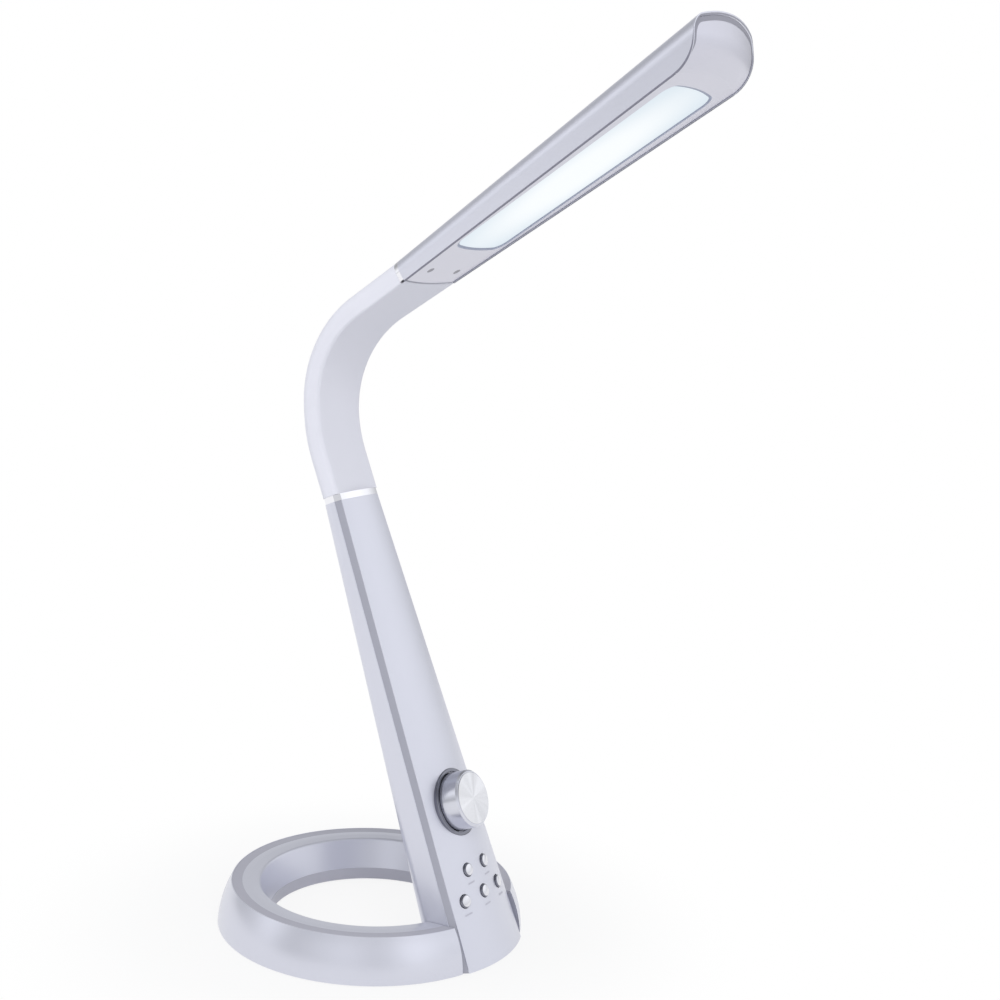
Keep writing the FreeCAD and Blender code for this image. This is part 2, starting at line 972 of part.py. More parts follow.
def tongue(kind, s):
    """Eye that a link carries at its lower end, on the pivot at a length along the neck."""
    reach = shoulder(kind)
    r = eye_radius(kind)
    if kind == "bend":
        w = tongue_half_width
        eye = rod(r, V(0, -w, 0), V(0, w, 0))
        shank = slab((-link_half_thickness, -w, 0), (link_half_thickness, w, reach))
        bore = rod(link_pin_radius + pin_clearance, V(0, -w - 1, 0), V(0, w + 1, 0))
    else:
        w = sway_tongue_half
        eye = rod(r, V(-w, 0, 0), V(w, 0, 0))
        shank = slab((-w, -r, 0), (w, r, reach))
        bore = rod(link_pin_radius + pin_clearance, V(-w - 1, 0, 0), V(w + 1, 0, 0))
    return neck_place(fuse(eye, [shank]).cut(bore), s)


def clevis(kind, s):
    """Pair of ears with their pin that a link carries at its upper end."""
    reach = shoulder(kind)
    r = eye_radius(kind)
    if kind == "bend":
        inner = tongue_half_width + ear_gap
        outer = link_half_width
        ears = []
        for side in (1, -1):
            low, high = sorted((side * inner, side * outer))
            ears.append(rod(r, V(0, low, 0), V(0, high, 0)))
            ears.append(slab((-link_half_thickness, low, -reach), (link_half_thickness, high, 0)))
        pin = rod(link_pin_radius, V(0, -outer, 0), V(0, outer, 0))
    else:
        inner = sway_tongue_half + ear_gap
        outer = link_half_thickness
        ears = []
        for side in (1, -1):
            low, high = sorted((side * inner, side * outer))
            ears.append(rod(r, V(low, 0, 0), V(high, 0, 0)))
            ears.append(slab((low, -r, -reach), (high, r, 0)))
        pin = rod(link_pin_radius, V(-outer, 0, 0), V(outer, 0, 0))
    return neck_place(fuse(ears[0], ears[1:] + [pin]), s)


def block_section(s, offset, half_width):
    t = link_half_thickness
    w = half_width
    return neck_place(outline([V(t, -w, offset), V(t, w, offset), V(-t, w, offset), V(-t, -w, offset)]), s)


def neck_link(k):
    """Link between pivot k and the next, with an eye below and a clevis above."""
    low, high = pivot_at(k), pivot_at(k + 1)
    low_kind, high_kind = link_kinds[k], link_kinds[k + 1]
    body = loft([
        block_section(low, shoulder(low_kind), link_half_width),
        block_section(high, -shoulder(high_kind), link_half_width),
    ])
    return fuse(body, [tongue(low_kind, low), clevis(high_kind, high)])


def lower_ferrule():
    """Anchor of the neck's spine, clamped in the column by the top screw."""
    kind = link_kinds[0]
    tail = -collar_height - ferrule_tail
    body = loft([
        block_section(0, tail, ferrule_half_width),
        block_section(first_pivot, -shoulder(kind), ferrule_half_width),
    ])
    ferrule = fuse(body, [clevis(kind, first_pivot)])
    top_screw = column_screw_heights[-1]
    hole = column_place(along_n(column_boss_radius + bushing_gap, top_screw, 0, -far / 10, far / 10))
    return ferrule.cut(hole)


def upper_ferrule():
    """Anchor of the neck's spine in the head, under the top shell's saddle."""
    last = len(link_kinds) - 1
    kind = link_kinds[last]
    body = loft([
        block_section(pivot_at(last), shoulder(kind), ferrule_half_width),
        block_section(neck_length, saddle_end, ferrule_half_width),
    ])
    return fuse(body, [tongue(kind, pivot_at(last))])


def supply_lead():
    """Cable from the control board, up the column and neck, to the light board."""
    side = V(0, lead_offset, 0)
    start = column_point(-neck_half, board_high) + side
    corners = [0, neck_lower_straight, neck_lower_straight + neck_arc_back,
               neck_lower_straight + neck_arc_back + neck_arc_front]
    marks = [neck_point(s) + side for s in corners]
    bend_one = neck_point((corners[1] + corners[2]) / 2) + side
    bend_two = neck_point((corners[2] + corners[3]) / 2) + side
    finish = neck_point(neck_length) + along(neck_turn_front) * light_board_start + side
    path = Part.Wire([
        Part.LineSegment(start, marks[1]).toShape(),
        Part.Arc(marks[1], bend_one, marks[2]).toShape(),
        Part.Arc(marks[2], bend_two, marks[3]).toShape(),
        Part.LineSegment(marks[3], finish).toShape(),
    ])
    profile = Part.Wire([Part.makeCircle(lead_radius, start, along(-lean))])
    return path.makePipeShell([profile], True, False)


# Head

head_start = neck_point(neck_length) + V(math.cos(neck_turn_front), 0, -math.sin(neck_turn_front)) * neck_half


def head_place(shape):
    """Move a shape from the head's frame to the lamp's."""
    placed = shape.copy()
    placed.rotate(V(0, 0, 0), V(0, 1, 0), -head_rise_deg)
    placed.translate(head_start)
    return placed


def head_share(low, high, a):
    return low + (high - low) * a / head_section_length


def head_section(a, inset=0.0, floor=0.0):
    """Flat underside, upright sides, round shoulders and a slightly crowned top."""
    half = head_share(head_half_width_neck, head_half_width_tip, a) - inset
    side = head_share(head_side_height_neck, head_side_height_tip, a)
    corner = head_share(head_corner_neck, head_corner_tip, a) - inset
    tilt = math.radians(head_crown_deg)
    mid = (math.pi / 2 + tilt) / 2
    end_y = half - corner + corner * math.sin(tilt)
    end_n = side + corner * math.cos(tilt)
    mid_y = half - corner + corner * math.sin(mid)
    mid_n = side + corner * math.cos(mid)
    crown = side + corner + (half - corner) * math.tan(tilt / 2)
    return outline([
        V(a, -half, floor),
        V(a, -half, side),
        (V(a, -mid_y, mid_n), V(a, -end_y, end_n)),
        (V(a, 0, crown), V(a, end_y, end_n)),
        (V(a, mid_y, mid_n), V(a, half, side)),
        V(a, half, floor),
    ])


def head_loft(inset=0.0, floor=0.0, start=0.0, end=head_section_length + 8.0):
    return loft([head_section(start, inset, floor), head_section(end, inset, floor)])


def tip_body(inset=0.0):
    """Round body whose edge gives the head's tip: its underside sweeps up to the rim."""
    centre = tip_flat_end + tip_sweep_radius * math.sin(math.radians(tip_sweep_deg)) - tip_plan_radius
    sweep = math.radians(tip_sweep_deg)
    r = tip_sweep_radius - inset
    start = tip_flat_end - centre
    low = inset - tip_dip
    arc_mid = (start + r * math.sin(sweep / 2), low + r * (1 - math.cos(sweep / 2)))
    arc_end = (start + r * math.sin(sweep), low + r * (1 - math.cos(sweep)))
    rise = far / 8
    top = (arc_end[0] + rise / math.tan(sweep), arc_end[1] + rise)
    floor = inset if inset else -5.0
    body = revolved([
        (0, floor),
        (start, floor),
        (start, low) if floor != low else (start, low - tip_dip),
        (arc_mid, arc_end),
        top,
        (0, top[1]),
    ])
    body.translate(V(centre, 0, 0))
    return body


def neck_edge_disc(gap=0.0):
    """Disc whose edge is the curved neck end of the bottom cover."""
    centre = V(neck_edge_radius - neck_edge_bulge, 0, -far / 4)
    return Part.makeCylinder(neck_edge_radius + gap, far / 2, centre, UP)


def upper_collar():
    """Bright band round the sides and top where the neck meets the head."""
    band = head_loft(0.0, 0.0, -upper_collar_width, 0.0)
    hole = head_loft(upper_collar_wall, -1.0, -upper_collar_width - 1, 1.0)
    low = slab((-far, -far, -1), (far, far, collar_open_height))
    return band.cut([hole, low])


def shell_inside(a, y, inset):
    """Height of the top shell's inner face."""
    half = head_share(head_half_width_neck, head_half_width_tip, a) - inset
    corner = head_share(head_corner_neck, head_corner_tip, a) - inset
    side = head_share(head_side_height_neck, head_side_height_tip, a)
    tilt = math.radians(head_crown_deg)
    crown_radius = (half - corner) / math.sin(tilt) + corner
    crown = side + corner + (half - corner) * math.tan(tilt / 2)
    return crown - crown_radius + math.sqrt(crown_radius ** 2 - y ** 2)


def spreader_top():
    return light_board_height + light_board_thickness + spreader_thickness


def upright(radius, a, y, low, high):
    return rod(radius, V(a, y, low), V(a, y, high))


cover_top = cover_recess + cover_skin
flange_top = cover_top + cover_flange


def head_top_shell():
    """Arched shell with posts for the heat spreader and cover screws, and the neck's saddle."""
    shell = head_loft().common(tip_body()).cut(head_loft(head_wall, -2.0, -1.0))
    adds = []
    for a, y in spreader_post_places:
        adds.append(upright(spreader_post_radius, a, y, spreader_top(), shell_inside(a, y, head_wall) + 0.5))
    for side in (1, -1):
        y = side * head_screw_y
        high = shell_inside(head_screw_a, y, head_wall) + 0.5
        adds.append(upright(head_post_radius, head_screw_a, y, flange_top, high))
    saddle_low = neck_half + link_half_thickness
    saddle_high = shell_inside(saddle_start, ferrule_half_width, head_wall) + 0.3
    adds.append(slab((saddle_start, -ferrule_half_width, saddle_low),
                     (saddle_end, ferrule_half_width, saddle_high)))
    shell = fuse(shell, adds)
    bores = []
    for side in (1, -1):
        top = flange_top + head_screw_length
        bores.append(upright(head_screw_radius + screw_gap, head_screw_a, side * head_screw_y, 0, top))
    return shell.cut(bores)


def window(inset, low, high):
    """Block with the light window's outline: tapering sides, bowed ends, round corners."""
    a0, a1 = window_start + inset, window_end - inset
    slope = (window_half_end - window_half_start) / (window_end - window_start)
    w0 = window_half_start + slope * inset - inset
    w1 = window_half_end - slope * inset - inset
    s0, s1 = a0 + window_end_bulge, a1 - window_end_bulge
    face = Part.Face(outline([
        V(s1, -w1, low),
        (V(a1, 0, low), V(s1, w1, low)),
        V(s0, w0, low),
        (V(a0, 0, low), V(s0, -w0, low)),
    ]))
    block = face.extrude(V(0, 0, high - low))
    corners = [e for e in block.Edges if e.Vertexes[0].Point.sub(e.Vertexes[-1].Point).Length > high - low - 0.001
               and abs(e.Vertexes[0].X - e.Vertexes[-1].X) < 0.001
               and abs(e.Vertexes[0].Y - e.Vertexes[-1].Y) < 0.001]
    return block.makeFillet(window_corner - inset, corners)


def head_bottom_cover():
    """Underside and tip in one skin, set back in the shell's rim, with a flange that locates it."""
    skin = head_loft(head_wall + head_groove, 0.0, -4.0)
    skin = skin.common(tip_body(cover_recess)).cut(tip_body(cover_top)).common(neck_edge_disc())
    skin = skin.common(above(cover_recess))
    flange = head_loft(head_wall + cover_flange_gap, cover_top, part_gap)
    flange = flange.common(tip_body(cover_top)).cut(tip_body(flange_top))
    cover = fuse(skin, [flange])
    cuts = [window(0.0, -1.0, flange_top + 1.0)]
    for side in (1, -1):
        y = side * head_screw_y
        seat = cover_recess + head_screw_head_height
        cuts.append(upright(head_screw_head_radius + screw_gap, head_screw_a, y, -1, seat))
        cuts.append(upright(head_screw_radius + screw_gap, head_screw_a, y, -1, far / 20))
    return cover.cut(cuts)


def led_diffuser():
    """Milky lens that fills the window a little below flush, with a lip behind the cover."""
    lens = window(diffuser_gap, cover_recess + diffuser_recess, flange_top)
    lip = window(-diffuser_lip, flange_top, flange_top + diffuser_lip_thickness)
    return fuse(lens, [lip])


def light_board():
    end = window_end
    board = slab((light_board_start, -light_board_half_width, light_board_height),
                 (end, light_board_half_width, light_board_height + light_board_thickness))
    notches = []
    for side in (1, -1):
        notches.append(upright(head_post_radius + part_gap, head_screw_a, side * head_screw_y, 0, far / 20))
    return board.cut(notches)


def heat_spreader():
    low = light_board_height + light_board_thickness
    return slab((spreader_start, -spreader_half_width, low),
                (window_end, spreader_half_width, low + spreader_thickness))


def led_chips():
    chips = []
    first = (window_start + window_end - (led_count - 1) * led_pitch) / 2
    for row in led_rows:
        for k in range(led_count):
            a = first + k * led_pitch
            low = (a - led_length / 2, row - led_width / 2, light_board_height - led_height)
            high = (a + led_length / 2, row + led_width / 2, light_board_height)
            chips.append(head_place(slab(low, high)))
    return group(chips)


def head_screws():
    screws = []
    for side in (1, -1):
        y = side * head_screw_y
        seat = cover_recess + head_screw_head_height
        head = upright(head_screw_head_radius, head_screw_a, y, cover_recess + screw_gap, seat)
        shank = upright(head_screw_radius, head_screw_a, y, seat, flange_top + head_screw_length - 1)
        screws.append(head_place(head.fuse(shank)))
    return group(screws)


# Write the foot

front_block = front_blank()
column_cut = column_envelope(side_half, part_gap, lambda u: -depth_at(u) - part_gap, 3 * front_skirt)
front_shell = column_place(column_front_shell(front_block)).common(above(foot_top))
trim = column_place(side_trim()).common(above(foot_top))
trims = [trim, mirrored(trim)]

save("base_outer_shell", outer_shell_blank().cut([column_cut, inlet_hole()]))
save("base_reveal_ring", reveal_ring_blank().cut(column_cut))
inner_ring = fuse(inner_ring_blank(), ring_bosses())
save("base_inner_ring", inner_ring.cut(column_cut))
pan = pan_blank().cut(screw_pockets() + trims + [front_shell])
save("base_pan", pan.cut(column_cut.common(above(pan_top))))
save("base_foot_ring", foot_ring())
save("base_ballast", ballast())
save("base_screws", base_screws())
save("inlet_jack", jack_body())
save("inlet_pin", jack_pin())

# Write the column

wall_keep = revolved([
    (0, pan_top),
    (wall_radius(pan_top, outer_wall + pan_gap), pan_top),
    (wall_radius(reveal_floor, outer_wall + pan_gap), reveal_floor),
    (wall_radius(reveal_floor, outer_wall + pan_gap), ring_height),
    (far, ring_height),
    (far, far),
    (0, far),
])
save("column_front_shell", front_shell)
save("column_rear_shell", column_place(column_rear_shell()).common(wall_keep))
save("side_trim_right", trims[0])
save("side_trim_left", trims[1])
save("column_screws", column_place(column_screws()))
save("lower_collar", column_place(lower_collar()))
save("control_board", column_place(control_board()))
save("board_screws", column_place(board_screws()))
save("board_components", column_place(board_components()))
save("tact_switches", column_place(tact_switches()))
save("encoder_body", column_place(encoder_body()))
save("encoder_nut", column_place(encoder_nut()))
save("knob_bezel", column_place(knob_bezel()))
save("encoder_shaft", column_place(encoder_shaft()))
save("knob_body", column_place(knob_body()))
save("knob_cap", column_place(knob_cap()))
for number, (u, y) in enumerate(button_places, 1):
    save(f"button_{number}", column_place(button(u, y)))

# Write the neck

save("lower_ferrule", lower_ferrule())
for k in range(len(link_kinds) - 1):
    save(f"neck_link_{k + 1}", neck_link(k))
save("upper_ferrule", upper_ferrule())
save("neck_sleeve", neck_sleeve())
save("supply_lead", supply_lead())

# Write the head

save("upper_collar", head_place(upper_collar()))
save("head_top_shell", head_place(head_top_shell()))
save("head_bottom_cover", head_place(head_bottom_cover()))
save("led_diffuser", head_place(led_diffuser()))
save("light_board", head_place(light_board()))
save("heat_spreader", head_place(heat_spreader()))
save("led_chips", led_chips())
save("head_screws", head_screws())
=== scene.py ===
import bpy
import json
import math
from mathutils import Matrix, Vector


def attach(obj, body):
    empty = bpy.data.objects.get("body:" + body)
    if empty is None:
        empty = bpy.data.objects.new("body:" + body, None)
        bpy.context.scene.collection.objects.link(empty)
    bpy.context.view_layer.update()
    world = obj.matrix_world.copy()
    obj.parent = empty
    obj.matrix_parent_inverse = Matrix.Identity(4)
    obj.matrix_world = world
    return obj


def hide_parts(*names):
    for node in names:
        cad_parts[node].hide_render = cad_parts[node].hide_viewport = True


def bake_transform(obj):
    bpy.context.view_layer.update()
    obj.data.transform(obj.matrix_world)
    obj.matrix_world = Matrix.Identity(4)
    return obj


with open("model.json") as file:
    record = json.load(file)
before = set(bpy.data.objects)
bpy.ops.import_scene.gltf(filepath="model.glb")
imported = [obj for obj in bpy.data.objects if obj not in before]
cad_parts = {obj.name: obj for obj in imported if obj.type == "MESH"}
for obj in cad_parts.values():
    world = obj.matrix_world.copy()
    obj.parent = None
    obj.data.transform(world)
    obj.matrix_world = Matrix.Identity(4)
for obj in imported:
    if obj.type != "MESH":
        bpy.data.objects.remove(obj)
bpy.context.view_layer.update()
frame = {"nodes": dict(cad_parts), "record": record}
nodes = frame["nodes"]


# Materials

noise_range = (0.3, 0.7)
mottle_scale = 14.0
ring_scale = 5200.0
ring_gloss = 0.05
ring_bite = 0.12
ring_depth = 0.00002
fan_scale = 1.7
# Darkest share of the spun cap's painted sheen, a fan of colour round its axis.
painted_sheen_dark = 0.83
lens_fade = (0.35, 1.3)
lens_glow = 0.89
lens_glow_middle = (0.93, 0.965, 0.985)
lens_glow_edge = (0.70, 0.79, 0.86)
lens_dark = (0.05, 0.052, 0.054)
lens_light = (0.06, 0.062, 0.065)


def new_material(name):
    material = bpy.data.materials.new(name)
    material.use_nodes = True
    tree = material.node_tree
    shader = next(n for n in tree.nodes if n.type == "BSDF_PRINCIPLED")
    return material, tree, shader


def vector_math(tree, operation, vector, other=None):
    node = tree.nodes.new("ShaderNodeVectorMath")
    node.operation = operation
    tree.links.new(vector, node.inputs[0])
    if other is not None:
        node.inputs[1].default_value = other
    return node.outputs["Value" if operation == "LENGTH" else "Vector"]


def value_math(tree, operation, first, second):
    node = tree.nodes.new("ShaderNodeMath")
    node.operation = operation
    tree.links.new(first, node.inputs[0])
    tree.links.new(second, node.inputs[1])
    return node.outputs["Value"]


def noise(tree, vector, scale, detail=2.0, roughness=0.5):
    node = tree.nodes.new("ShaderNodeTexNoise")
    node.inputs["Scale"].default_value = scale
    node.inputs["Detail"].default_value = detail
    node.inputs["Roughness"].default_value = roughness
    tree.links.new(vector, node.inputs["Vector"])
    return node.outputs["Fac"]


def map_range(tree, value, source, target, smooth=False):
    """Map a value from one range of numbers to another."""
    node = tree.nodes.new("ShaderNodeMapRange")
    if smooth:
        node.interpolation_type = "SMOOTHSTEP"
    node.inputs["From Min"].default_value = source[0]
    node.inputs["From Max"].default_value = source[1]
    node.inputs["To Min"].default_value = target[0]
    node.inputs["To Max"].default_value = target[1]
    tree.links.new(value, node.inputs["Value"])
    return node.outputs["Result"]


def spread(tree, value, low, high):
    """Map a noise value, which stays near its middle, to a range."""
    return map_range(tree, value, noise_range, (low, high))


def tint(tree, value, dark, light):
    """Blend between two close colours by a value."""
    node = tree.nodes.new("ShaderNodeMix")
    node.data_type = "RGBA"
    node.inputs["A"].default_value = (*dark, 1)
    node.inputs["B"].default_value = (*light, 1)
    tree.links.new(value, node.inputs["Factor"])
    return node.outputs["Result"]


def bump(tree, shader, height, strength, distance):
    node = tree.nodes.new("ShaderNodeBump")
    node.inputs["Strength"].default_value = strength
    node.inputs["Distance"].default_value = distance
    tree.links.new(height, node.inputs["Height"])
    tree.links.new(node.outputs["Normal"], shader.inputs["Normal"])
    return node


def surface(name, color, rough, metal=0.0, vary=0.02, grain=900.0, bite=0.05, depth=0.00002,
            rough_vary=0.04, coat=0.0, coat_rough=0.1, specular=0.5, sheen=0.0):
    """Moulded or painted surface: faint colour mottling, uneven gloss and a fine grain."""
    material, tree, shader = new_material(name)
    place = tree.nodes.new("ShaderNodeTexCoord").outputs["Object"]
    broad = noise(tree, place, mottle_scale, 3.0)
    fine = noise(tree, place, grain, 2.0, 0.6)
    dark = tuple(c * (1 - vary) for c in color)
    light = tuple(min(1.0, c * (1 + vary)) for c in color)
    tree.links.new(tint(tree, spread(tree, broad, 0, 1), dark, light), shader.inputs["Base Color"])
    tree.links.new(spread(tree, fine, rough - rough_vary, rough + rough_vary), shader.inputs["Roughness"])
    bump(tree, shader, fine, bite, depth)
    shader.inputs["Metallic"].default_value = metal
    shader.inputs["Specular IOR Level"].default_value = specular
    shader.inputs["Coat Weight"].default_value = coat
    shader.inputs["Coat Roughness"].default_value = coat_rough
    shader.inputs["Sheen Weight"].default_value = sheen
    return material


def spun_metal(name, color, rough, origin, axis):
    """Metal turned about an axis: concentric rings, each with its own gloss, and a fan of painted sheen,
    the colour lighter and darker round the axis.
    """
    material, tree, shader = new_material(name)
    place = tree.nodes.new("ShaderNodeTexCoord").outputs["Object"]
    cross = vector_math(tree, "CROSS_PRODUCT", vector_math(tree, "SUBTRACT", place, origin), axis)
    rings = tree.nodes.new("ShaderNodeTexNoise")
    rings.noise_dimensions = "1D"
    rings.inputs["Scale"].default_value = ring_scale
    rings.inputs["Detail"].default_value = 4.0
    tree.links.new(vector_math(tree, "LENGTH", cross), rings.inputs["W"])
    tangent = vector_math(tree, "NORMALIZE", cross)
    tree.links.new(tangent, shader.inputs["Tangent"])
    # Painted sheen: the base colour turns lighter and darker with the direction round the axis.
    fan = spread(tree, noise(tree, tangent, fan_scale, 2.0), 0, 1)
    dark = tuple(c * painted_sheen_dark for c in color)
    tree.links.new(tint(tree, fan, dark, color), shader.inputs["Base Color"])
    gloss = spread(tree, rings.outputs["Fac"], rough - ring_gloss, rough + ring_gloss)
    tree.links.new(gloss, shader.inputs["Roughness"])
    bump(tree, shader, rings.outputs["Fac"], ring_bite, ring_depth)
    shader.inputs["Metallic"].default_value = 1.0
    shader.inputs["Anisotropic"].default_value = 0.85
    return material


def lit_lens(name, middle, half_length, half_width):
    """Opal lens with the lamp on: white in the middle, cooler and dimmer towards its edges."""
    material, tree, shader = new_material(name)
    place = tree.nodes.new("ShaderNodeTexCoord").outputs["Object"]
    shares = (1 / half_length, 1 / half_width, 1 / half_length)
    scaled = vector_math(tree, "MULTIPLY", vector_math(tree, "SUBTRACT", place, middle), shares)
    edge = map_range(tree, vector_math(tree, "LENGTH", scaled), lens_fade, (0.0, 1.0), smooth=True)
    tree.links.new(tint(tree, edge, lens_glow_middle, lens_glow_edge), shader.inputs["Emission Color"])
    shader.inputs["Emission Strength"].default_value = lens_glow
    soft = noise(tree, place, 60.0, 3.0)
    tree.links.new(tint(tree, soft, lens_dark, lens_light), shader.inputs["Base Color"])
    shader.inputs["Roughness"].default_value = 0.45
    shader.inputs["Specular IOR Level"].default_value = 0.3
    return material


lean = math.radians(22.93)
column_foot_x = 0.0913
knob_place = 0.0957
front_normal = (math.cos(lean), 0.0, math.sin(lean))
up_column = (-math.sin(lean), 0.0, math.cos(lean))


def column_point(n, y, u):
    """Point given in the column's own directions, in metres."""
    x = column_foot_x + n * front_normal[0] + u * up_column[0]
    return Vector((x, y, n * front_normal[2] + u * up_column[2]))


knob_centre = column_point(0.0, 0.0, knob_place)

silver = surface("pearl_silver", (0.69, 0.70, 0.785), 0.30, metal=0.6, vary=0.008, grain=1200.0, bite=0.012,
                 rough_vary=0.015, coat=0.25, coat_rough=0.15)
# Darker copy of the pearl silver for the head's underside cover: painted shade.
silver_shaded_under = surface("pearl_silver_shaded_under", (0.65, 0.65, 0.735), 0.32, metal=0.6, vary=0.008, grain=1200.0,
                       bite=0.012, rough_vary=0.015, coat=0.2, coat_rough=0.2)
grey = surface("grey_trim", (0.385, 0.39, 0.455), 0.42, vary=0.02, grain=1800.0, coat=0.1, coat_rough=0.3)
pan_grey = surface("pan_grey", (0.50, 0.50, 0.57), 0.4, vary=0.02, grain=1800.0)
foot_rubber = surface("foot_rubber", (0.03, 0.03, 0.03), 0.85, vary=0.1, grain=1200.0, bite=0.2)
chrome = surface("bright_chrome", (0.88, 0.88, 0.92), 0.06, metal=1.0, vary=0.005, grain=600.0, bite=0.01,
                 rough_vary=0.02)
dark_chrome = surface("bezel_chrome", (0.18, 0.185, 0.23), 0.06, metal=1.0, vary=0.005, grain=600.0,
                      bite=0.01, rough_vary=0.02, coat=1.0, coat_rough=0.04)
knob_satin = surface("knob_satin", (0.67, 0.68, 0.75), 0.20, metal=0.95, vary=0.01, grain=1600.0, bite=0.02)
spun = spun_metal("spun_aluminium", (0.88, 0.885, 0.92), 0.26, tuple(knob_centre), front_normal)
button_chrome = surface("button_chrome", (0.74, 0.745, 0.79), 0.09, metal=1.0, vary=0.005, grain=900.0,
                        bite=0.01, rough_vary=0.02)
# Dark grey for the painted shade along the head's lower edge.
edge_painted_shade = surface("edge_shadow", (0.24, 0.24, 0.30), 0.4, vary=0.02, grain=1500.0)
reveal_grey = surface("reveal_grey", (0.45, 0.45, 0.52), 0.42, vary=0.02, grain=1800.0, coat=0.1,
                      coat_rough=0.3)
mark_grey = surface("printed_mark", (0.56, 0.56, 0.64), 0.5, vary=0.02, grain=1500.0)
# Dark grey for the painted shade under the shell's rim round the tip.
rim_painted_shade = surface("rim_shade", (0.30, 0.30, 0.36), 0.42, vary=0.02, grain=1800.0)
# Dark grey for the painted shade in the groove between the head's shells.
seam_painted_shade = surface("seam_shadow", (0.17, 0.17, 0.21), 0.5, vary=0.03, grain=1500.0)
# Blue-grey for the painted shade round the lens's edge.
lens_painted_shade = surface("lens_painted_shade", (0.34, 0.38, 0.50), 0.4, vary=0.02, grain=900.0)
neck_white = surface("neck_silicone", (0.80, 0.805, 0.88), 0.62, vary=0.012, grain=1500.0, bite=0.12,
                     depth=0.00003, sheen=0.05, specular=0.3)
link_steel = surface("link_steel", (0.45, 0.45, 0.47), 0.38, metal=1.0, vary=0.05, grain=700.0)
screw_steel = surface("screw_steel", (0.55, 0.55, 0.57), 0.3, metal=1.0, vary=0.05, grain=900.0)
# Darker steel for the head's screws: painted shade of the recesses they sit in.
shaded_screw_steel = surface("screw_steel_painted_shade", (0.26, 0.26, 0.30), 0.35, metal=1.0, vary=0.05, grain=900.0)
cast = surface("ballast_steel", (0.22, 0.22, 0.23), 0.55, metal=0.8, vary=0.1, grain=400.0, bite=0.3)
black = surface("black_plastic", (0.02, 0.02, 0.022), 0.45, vary=0.1, grain=1500.0)
brass = surface("contact_brass", (0.70, 0.50, 0.20), 0.25, metal=1.0, vary=0.03)
board_green = surface("board_resin", (0.02, 0.12, 0.05), 0.35, vary=0.08, grain=500.0)
board_white = surface("board_white", (0.80, 0.80, 0.78), 0.4, vary=0.03, grain=500.0)
spreader = surface("spreader_aluminium", (0.70, 0.71, 0.73), 0.32, metal=1.0, vary=0.03, grain=500.0)
led_yellow = surface("led_resin", (0.85, 0.72, 0.30), 0.4, vary=0.05)
lens_middle = (0.1135, 0.0, 0.4665)
lens_half_length = 0.082
lens_half_width = 0.032
lens = lit_lens("lit_diffuser", lens_middle, lens_half_length, lens_half_width)

by_slot = {
    "silver_shell": silver, "grey_trim": grey, "grey_plastic": pan_grey, "foot_rubber": foot_rubber,
    "ballast_steel": cast, "screw_steel": screw_steel, "black_plastic": black, "contact_brass": brass,
    "bright_chrome": chrome, "board_resin": board_green, "board_white": board_white,
    "encoder_metal": screw_steel, "knob_satin": knob_satin, "spun_aluminium": spun,
    "button_satin": button_chrome, "link_steel": link_steel, "neck_silicone": neck_white,
    "lead_sheath": black, "lit_diffuser": lens, "spreader_aluminium": spreader, "led_resin": led_yellow,
}
by_node = {"knob_bezel": dark_chrome, "head_bottom_cover": silver_shaded_under, "head_screws": shaded_screw_steel,
           "base_reveal_ring": reveal_grey}
for part in frame["record"]["subparts"]:
    mesh = nodes[part["node"]].data
    mesh.materials.clear()
    mesh.materials.append(by_node.get(part["node"], by_slot[part["material_slot"]]))


# The neck's line, in metres, from the top of the column to the head

neck_thickness = 0.014
lower_straight = 0.0244
back_radius = 0.091
front_radius = 0.0684
upper_straight = 0.0406
collar_width = 0.0027
head_rise = math.radians(34.17)
final_heading = math.pi / 2 - head_rise
arc_back = back_radius * lean
arc_front = front_radius * final_heading
neck_length = lower_straight + arc_back + arc_front + upper_straight
first_pivot = 0.022
pivot_spacing = 0.021
neck_chain = ["stand", "link_1", "link_2", "link_3", "link_4", "link_5", "link_6", "head"]
neck_foot = 0.294
neck_start = column_point(-neck_thickness / 2, 0.0, neck_foot)
taper_start = 0.052
sleeve_half = (0.0225, 0.0281)
sleeve_front_corner = (0.003, 0.0009)
sleeve_back_corner = (0.007, 0.008)
front_steps = 6
back_steps = 10
sleeve_step = 0.0015
shade_step = 0.0004
blend_gap = 0.0012
neck_lip_half = 0.0272
neck_lip_steps = 40
neck_lip_gap = 0.0006
neck_lip_fold = 0.0004
neck_lip_heights = (0.0002, 0.0011)
cover_edge_radius = 0.1583
cover_edge_centre = 0.1562
lead_radius = 0.0012
lead_side = 0.0103
lead_sides = 12
lead_step = 0.004
lead_foot = -0.18
lead_top = 0.013


def along(angle):
    return Vector((math.sin(angle), 0.0, math.cos(angle)))


def across(angle):
    return Vector((math.cos(angle), 0.0, -math.sin(angle)))


def arc_step(radius, start, end):
    """How far an arc carries the line, from one heading to another."""
    forward = radius * (math.cos(start) - math.cos(end))
    return Vector((forward, 0.0, radius * (math.sin(end) - math.sin(start))))


def neck_frame(s):
    """Point and heading of the neck's centre line at a length along it."""
    point = neck_start + along(-lean) * min(s, lower_straight)
    rest = s - lower_straight
    if rest <= 0:
        return point, -lean
    angle = -lean + min(rest, arc_back) / back_radius
    point = point + arc_step(back_radius, -lean, angle)
    rest -= arc_back
    if rest <= 0:
        return point, angle
    angle = min(rest, arc_front) / front_radius
    point = point + arc_step(front_radius, 0.0, angle)
    return point + along(final_heading) * max(0.0, rest - arc_front), angle


def corner(cx, cy, radius, start, count):
    """Points of a quarter turn about a corner's centre."""
    points = []
    for i in range(count + 1):
        turn = start + math.pi / 2 * i / count
        points.append((cx + radius * math.cos(turn), cy + radius * math.sin(turn)))
    return points


def between(ends, share):
    return ends[0] + (ends[1] - ends[0]) * share


